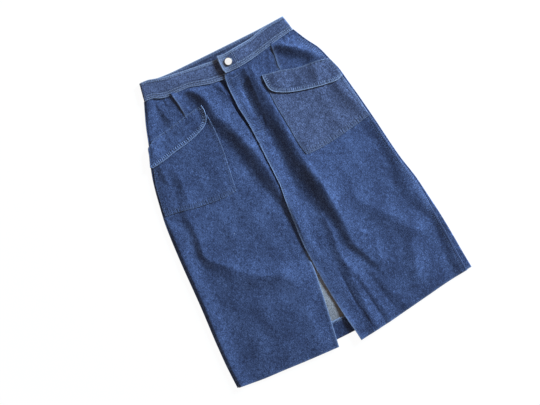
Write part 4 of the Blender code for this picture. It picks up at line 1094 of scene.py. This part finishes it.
def band_relief(run, from_top):
    """Puckers and dips along the rows, the distances to both, and how much the cloth ticks."""
    depth = BAND_DEPTH - from_top
    rows = np.minimum(np.abs(from_top - TOP_ROW), np.minimum(*[np.abs(depth - d) for d in FOOT_ROWS]))
    dips = np.min([np.abs(depth - d) for d in PAINTED_SHADE_DIPS] + [np.abs(from_top - 7.8)], axis=0)
    relief = puckered(rows, run + 0.4 * from_top, 4.0, 0.16, 5.7) - 0.35 * np.exp(-(dips / 1.5) ** 2)
    relief = relief + 0.35 * waver(run, from_top, 26, 30, 6.6) + 0.12 * waver(run, from_top, 7, 10, 1.2)
    tick = np.maximum(ramp(from_top, 0.5, 2) * (1 - ramp(from_top, 6, 8)),
                      ramp(depth, 0.5, 2) * (1 - ramp(depth, 8, 10)))
    return relief, rows, dips, 0.45 * tick


def place_band(u, v):
    step = u * sum(BAND_CELLS)
    top, foot = band_edge("top", step), band_edge("foot", step)
    across, up, height = (blend(top[k], foot[k], v) for k in range(3))
    across = across - np.clip(1 - step / 8, 0, 1) * TAB_BOW * 4 * v * (1 - v)
    from_top = BAND_DEPTH * v
    run = step * BAND_STEP
    relief, rows, dips, tick = band_relief(run, from_top)
    on_back = (step > BAND_CELLS[0] + 4) & (step < sum(BAND_CELLS[:3]) + 4)
    outer = np.where(on_back, -1, 1)
    # The tab's end and the right front are paler; the inside of the back is painted darker as shade,
    # and a place at the foot beside the tab is darker.
    fade = 0.05 + 0.14 * (1 - ramp(step, 5, 8)) + 0.05 * waver(run, from_top, 50, 30, 7.7) - 0.16 * on_back
    fade = fade + 0.08 * (step > sum(BAND_CELLS[:4])) - 0.03 * (step < BAND_CELLS[0])
    fade = fade - 0.22 * np.exp(-((step - 22) / 8) ** 2) * ramp(from_top, 28, 35)
    # The folded edges wear most, then the tab's end and the rows.
    edge = np.minimum(np.maximum(from_top - 0.5, 0), BAND_DEPTH - from_top + 0.4)
    edge = np.minimum(edge, np.where(step < 12, 0.2 + step * 0.26, FAR))
    edge = np.minimum(edge, 1.9 + 1.2 * rows)
    # The dips go to the finish as its row, so it paints shade along them.
    return {"across": across, "up": up, "height": height + outer * relief, "edge": edge, "row": dips,
            "run": run, "fade": fade, "tick": tick, "grain": (from_top, run)}


band = sheet_of("waistband_strip", sum(BAND_CELLS), 32, place_band, WORN, WORN, BAND_CLOTH, 1.0)
band.modifiers["cloth"].offset = 0
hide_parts("waistband")

# ------------------------------------------------------------------------------------------------
# Pockets and flaps
# Patch pockets of one layer with turned edges, sewn to the fronts by two rows. Each has a doubled
# flap, sewn down along its top edge, rounded at its inner corner and stitched round by two rows.
# ------------------------------------------------------------------------------------------------
PATCHES = {
    "pocket_left": {
        "upper": ((37, 262), (100, 252), (150, 243), (190, 235)),
        "lower": ((48, 91), (75, 89.5), (100, 91), (150, 97), (209.5, 106)),
        "inner": ((37, 262), (36.5, 225), (40, 175), (43, 125), (48, 91)),
        "outer": ((190, 235), (196, 200), (204.2, 150), (209.5, 106))},
    "pocket_right": {
        "upper": ((-106, 263), (-150, 257), (-200, 246), (-256, 231)),
        "lower": ((-122, 88), (-150, 86.5), (-200, 91), (-250, 101), (-286, 107)),
        "inner": ((-106, 263), (-105, 235), (-107, 190), (-112, 155), (-117, 120), (-122, 88)),
        "outer": ((-256, 231), (-266, 200), (-273, 180), (-282, 135), (-286, 107))},
    "flap_left": {
        "upper": ((38.5, 287.5), (48, 285), (75, 280), (118, 267.5), (150, 263.5), (183, 257)),
        "lower": ((38, 262), (39.5, 254), (44, 246), (60, 235), (75, 228), (100, 220), (125, 214),
                  (150, 209), (180, 205.2), (195, 211)),
        "inner": ((38.5, 287.5), (37.8, 275), (38, 262)),
        "outer": ((183, 257), (188, 250), (191, 237), (195, 211))},
    "flap_right": {
        "upper": ((-108, 288), (-150, 282), (-200, 273), (-232, 269)),
        "lower": ((-109, 262), (-113, 254), (-121, 245), (-135, 238), (-150, 233), (-175, 227),
                  (-200, 223), (-240, 215), (-262, 212.5), (-267.5, 216)),
        "inner": ((-108, 288), (-107, 275), (-109, 262)),
        "outer": ((-232, 269), (-246, 260), (-253, 255), (-258, 240), (-267.5, 216))},
}
# How much paler than new the cloth is, across the skirt.
POCKET_WORN = ((-290, 0.0), (-200, 0.0), (-110, -0.02), (40, -0.01), (120, 0.0), (210, -0.02))
# On the flaps, wear and painted shade: darker towards the left flap's inner end, as painted shade of the fold
# there.
FLAP_WEAR_AND_PAINTED_SHADE = ((-270, 0.14), (-225, 0.16), (-190, 0.04), (-110, -0.04), (36, -0.10), (60, -0.08),
             (80, -0.03), (105, 0.0), (125, -0.06), (142, -0.06), (160, 0.0), (195, 0.0))
POCKET_CLOTH = 0.9          # pressed flat along its sewn edges
FLAP_CLOTH, FLAP_CLIMB = 1.5, 16.0
FLAP_LIFT, FLAP_LIFT_REACH = 0.5, 9.0
POCKET_ROWS = (1.8, 8.0)
FLAP_ROWS = (2.4, 9.4)
FLAP_TOP_ROW = 2.0
OUTLINE_STEP = 3.0          # between the places of an outline


def run_through(points, t):
    """Across and up at a share t of the way along a smooth line through the points."""
    walked = walk(points)
    rows = np.column_stack([walked, points])
    return along(rows, t * walked[-1], 1), along(rows, t * walked[-1], 2)


def between_sides(sides, u, v):
    """A place between four sides: u from the centre to the side, v from top to bottom."""
    flat = []
    ends = [run_through(sides["upper"], u), run_through(sides["lower"], u),
            run_through(sides["inner"], v), run_through(sides["outer"], v)]
    for k in (0, 1):
        edges = blend(ends[0][k], ends[1][k], v) + blend(ends[2][k], ends[3][k], u)
        corners = blend(blend(sides["upper"][0][k], sides["upper"][-1][k], u),
                        blend(sides["lower"][0][k], sides["lower"][-1][k], u), v)
        flat.append(edges - corners)
    return flat[0], flat[1]


def patch_relief(across, up, lines, edge_lines, puff):
    """What the turned edges, the rows and the wear do to a patch's face."""
    row, _ = nearest(lines, across, up)
    edge, edge_run = nearest(edge_lines, across, up)
    relief = puff * (1 - np.exp(-edge / 16)) + puckered(edge - 5, edge_run, 5.0, 0.14, 8.3)
    relief = relief - 0.25 * np.exp(-(row / 1.1) ** 2)
    relief = relief + 0.5 * waver(across, up, 34, 46, 3.9) + 0.16 * waver(across, up, 11, 16, 7.1)
    return relief, {"edge": edge, "row": row, "run": edge_run}


def make_patch(name, node, columns, rows, top, marks_of, thickness, worn):
    sides = PATCHES[node]

    def place(u, v):
        across, up = between_sides(sides, 1 - u if node.endswith("right") else u, v)
        marks = marks_of(across, up)
        # The table's tone, a cloud, and the patches of wear and painted light and shade.
        mottle = along(worn, across) + 0.05 * waver(across, up, 30, 40, 5.5) + wear_and_painted_light(across, up)
        # Soft wrinkles on the flaps: paler on top and darker in their hollows, as wear and painted light and
        # shade.
        mottle = mottle + 0.16 * marks.pop("streak", 0)
        return {"across": across, "up": up, "height": top(across, up), "fade": mottle, **marks}

    face = WORN if node.endswith("left") else INDIGO
    piece = sheet_of(name, columns, rows, place, face, WRONG_SIDE, thickness, rim=0.4)
    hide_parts(node)
    return piece


def pocket_and_flap(side, front_top):
    sign = 1 if side == "left" else -1
    pocket_sides, flap_sides = PATCHES["pocket_" + side], PATCHES["flap_" + side]
    pocket_edges = [drawn(pocket_sides[k], OUTLINE_STEP) for k in ("inner", "lower", "outer")]
    way = {"inner": sign, "lower": sign, "outer": -sign, "upper": -sign}
    pocket_rows = [beside(drawn(pocket_sides[k], OUTLINE_STEP), way[k] * off)
                   for k in ("inner", "lower", "outer") for off in POCKET_ROWS]
    flap_edges = [drawn(flap_sides[k], OUTLINE_STEP) for k in ("inner", "lower", "outer", "upper")]
    flap_rows = [beside(drawn(flap_sides["inner"] + flap_sides["lower"][1:-1], OUTLINE_STEP), sign * off)
                 for off in FLAP_ROWS]
    flap_rows.append(beside(drawn(flap_sides["upper"], OUTLINE_STEP), -sign * FLAP_TOP_ROW))

    flap_across = sorted((sign * 30, sign * 296))
    smooth_pocket = sampled(top_of(front_top, POCKET_CLOTH, 0.15), flap_across, (80, 300))

    def pocket_finish(across, up):
        relief, marks = patch_relief(across, up, pocket_rows, pocket_edges, 0.5)
        low, low_run = nearest([drawn(pocket_sides["lower"], OUTLINE_STEP)], across, up)
        at_foot = 1 - ramp(low, 9, 15)
        marks["tick"] = np.maximum(0.5 * at_foot, 0.2 * (1 - ramp(marks["edge"], 6, 10)))
        marks["edge"] = marks["edge"] + 1.5
        marks["run"] = np.where(low < 15, low_run, marks["run"])
        return relief + 0.16 * at_foot * np.sin(2 * np.pi * low_run / 6.7 + np.sin(low_run / 17)), marks

    pocket_top = sampled(lambda a, u: smooth_pocket(a, u) + pocket_finish(a, u)[0], flap_across,
                         (80, 300), 1.5)

    pocket = make_patch(side + "_pocket", "pocket_" + side, 110, 90, pocket_top,
                        lambda a, u: pocket_finish(a, u)[1], POCKET_CLOTH, POCKET_WORN)

    top_table = sorted(flap_sides["upper"])

    def flap_under(across, up):
        below_top = along(top_table, across) - up
        return blend(smooth_pocket(across, up) - POCKET_CLOTH, smooth_pocket(across, up) + 0.5,
                     ramp(below_top, 0, FLAP_CLIMB))

    smooth_flap = top_of(flap_under, FLAP_CLOTH, 0.3)
    ladder = 1.2 if side == "left" else 2.0
    free = [drawn(flap_sides["inner"] + flap_sides["lower"][1:], OUTLINE_STEP)]

    def flap_finish(across, up):
        relief, marks = patch_relief(across, up, flap_rows, flap_edges, 0.25)
        off, _ = nearest(free, across, up)
        between_rows = ramp(off, 2.4, 3.6) * (1 - ramp(off, 7.5, 9))
        marks["tick"] = ladder * (1 + 0.4 * waver(across, up, 12, 12, 2.2)) * between_rows
        marks["edge"] = np.minimum(off, marks["edge"] + 1.4)
        # Soft wrinkles run down the flap; the finish paints their tops paler and hollows darker, as wear and
        # painted light and shade.
        marks["streak"] = waver(across + 0.15 * up, up, 11, 60, 8.8)
        return relief + 0.35 * marks["streak"] + FLAP_LIFT * np.exp(-off / FLAP_LIFT_REACH), marks

    flap_top = sampled(lambda a, u: smooth_flap(a, u) + flap_finish(a, u)[0], flap_across,
                       (195, 300), 1.0)

    flap = make_patch(side + "_flap", "flap_" + side, 120, 36, flap_top,
                      lambda a, u: flap_finish(a, u)[1], FLAP_CLOTH, FLAP_WEAR_AND_PAINTED_SHADE)
    sew(side + "_pocket_rows", pocket_rows, pocket_top, BLUE_THREAD)
    sew(side + "_flap_rows", flap_rows, flap_top, BLUE_THREAD)


pocket_and_flap("right", right_top)
pocket_and_flap("left", left_top)

# ------------------------------------------------------------------------------------------------
# Topstitching
# Rows in blue cotton: the fly's curved row and its edge, the seam below the fly, the left side seam
# and the inside of the waistband, with a bar tack across the fly. The rows on the face of the
# waistband, on its tab and at the top of the fly are in paler, worn cotton.
# ------------------------------------------------------------------------------------------------
CLEAR_OF_POCKET = (104, 262)
BAND_PLACES = 120           # places along a row of the waistband
ROW_END, UNDERLAP_BARE, INSIDE_END = 1.5, 14, 10      # the cells left bare at the ends of its rows
TAB_ROWS = (1.0, 4.6)
seam_rows = []
for line in SEAM_ROWS:
    seam_rows.append(line[line[:, 1] < CLEAR_OF_POCKET[0]])
    seam_rows.append(line[line[:, 1] > CLEAR_OF_POCKET[1]])
sew("fly_and_seam_rows", [FLY_ROW, FLY_EDGE_ROW, JOIN_ROW, *seam_rows], left_top, BLUE_THREAD)


def band_line(off_top, start, stop):
    """A row along the band, off_top millimetres below its top edge."""
    step = np.linspace(start, stop, BAND_PLACES)
    top, foot = band_edge("top", step), band_edge("foot", step)
    return np.column_stack([blend(top[k], foot[k], off_top / BAND_DEPTH) for k in (0, 1)])


def band_surface(line, off_top, start, stop, base, way=1):
    """The band's face along one of its rows, with the relief that the strip has there."""
    run = np.linspace(start, stop, BAND_PLACES) * BAND_STEP
    relief = band_relief(run, np.full(BAND_PLACES, off_top))[0]
    order = np.argsort(line[:, 0])
    return lambda across, up: base(across) + way * np.interp(across, line[order, 0], relief[order])


left_part, back_start, back_stop = BAND_CELLS[0], sum(BAND_CELLS[:2]), sum(BAND_CELLS[:3])
right_start, whole = sum(BAND_CELLS[:4]), sum(BAND_CELLS)
for name, start, stop, on_left in (
        ("left", ROW_END, left_part - ROW_END, True),
        ("right", right_start + ROW_END, whole - UNDERLAP_BARE, False)):
    for place, off in (("top", TOP_ROW), ("foot", BAND_DEPTH - FOOT_ROWS[0]),
                       ("upper_foot", BAND_DEPTH - FOOT_ROWS[1])):
        line = band_line(off, start, stop)
        surface = band_surface(line, off, start, stop,
                               lambda across: band_middle(across, on_left) + BAND_CLOTH / 2)
        sew("band_row_" + name + "_" + place, [line], surface, WORN_THREAD, width=0.75)
back_start, back_stop = back_start + INSIDE_END, back_stop - INSIDE_END
line = band_line(TOP_ROW, back_start, back_stop)
surface = band_surface(line, TOP_ROW, back_start, back_stop,
                       lambda across: np.full_like(across, BAND_CLOTH), -1)
sew("band_row_inside", [line], surface, BLUE_THREAD)
tab_up = np.linspace(329, 364, 12)
tab_rows = [np.column_stack([np.full(len(tab_up), across), tab_up]) for across in TAB_ROWS]
tab_bow = -28.5 - 2.4 * np.sin(np.linspace(0.2, 2.9, len(tab_up)))
tab_rows.append(np.column_stack([tab_bow, tab_up]))
sew("tab_rows", tab_rows, lambda across, up: band_middle(across, True) + BAND_CLOTH / 2 + 0.4,
    WORN_THREAD, width=0.75)
tack = [drawn(((-31, 181 + up), (-15, 180 + up)), 1.0) for up in (0, 1.2)]
sew("fly_tack", tack, left_top, BLUE_THREAD, pitch=0.8, length=2.4, width=0.6, across_row=True)
top_row = drawn(((-27, 308.5), (-17, 310.5), (-8, 310)), 1.0)
sew("fly_top_row", [top_row], left_top, WORN_THREAD, width=0.8)

# ------------------------------------------------------------------------------------------------
# The button
# A plain nickel-plated shank button: a turned cap with a rolled rim and a shallow ring, on a neck
# that is riveted through the tab.
# ------------------------------------------------------------------------------------------------
BUTTON_ACROSS, BUTTON_UP, BUTTON_SEAT = -13.0, 346.0, 12.2
BUTTON_PROFILE = ((0.0, 1.6), (2.4, 1.65), (4.4, 1.85), (5.2, 1.95), (5.9, 1.8), (6.4, 1.75), (7.0, 1.9),
                  (7.7, 2.0), (8.25, 1.85), (8.5, 1.45), (8.4, 1.05), (7.9, 0.75), (6.6, 0.65), (4.2, 0.6),
                  (3.6, 0.4), (3.6, 0.0))
bm = bmesh.new()
profile = [bm.verts.new(Vector((r, 0, z)) * MM) for r, z in BUTTON_PROFILE]
for a, b in zip(profile, profile[1:]):
    bm.edges.new((a, b))
bmesh.ops.spin(bm, geom=bm.verts[:] + bm.edges[:], cent=(0, 0, 0), axis=(0, 0, 1),
               angle=2 * math.pi, steps=72, use_merge=True)
bmesh.ops.remove_doubles(bm, verts=bm.verts, dist=0.00001)
bmesh.ops.recalc_face_normals(bm, faces=bm.faces)
centre = Vector(to_part(BUTTON_ACROSS, BUTTON_UP, BUTTON_SEAT))
bmesh.ops.translate(bm, verts=bm.verts, vec=centre)
button = new_piece("waist_button", bm)

nickel, tree, shader = new_material("nickel")
place = tree.nodes.new("ShaderNodeTexCoord")
from_centre = tree.nodes.new("ShaderNodeVectorMath")
from_centre.operation = "DISTANCE"
tree.links.new(place.outputs["Object"], from_centre.inputs[0])
from_centre.inputs[1].default_value = centre
# Painted shade with a little tarnish: past the crest of the rolled rim, from 7.6 to 8.2 millimetres off the
# centre, the rim is painted dark.
rim = reckon(tree, "MULTIPLY_ADD", from_centre.outputs["Value"], 1660.0, -12.6, clamp=True)
scuff = grain_noise(tree, place.outputs["Object"], (0.5, 1.4), 4.0, 0.7)
plain = tint(tree, scuff, (0.90, 0.89, 0.87, 1.0), (0.97, 0.96, 0.94, 1.0))
tree.links.new(tint(tree, rim, plain, (0.16, 0.15, 0.14, 1.0)), shader.inputs["Base Color"])
tree.links.new(reckon(tree, "MULTIPLY_ADD", scuff, 0.2, 0.16), shader.inputs["Roughness"])
shader.inputs["Metallic"].default_value = 1.0
button.data.materials.append(nickel)
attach(button, "root")
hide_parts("button")
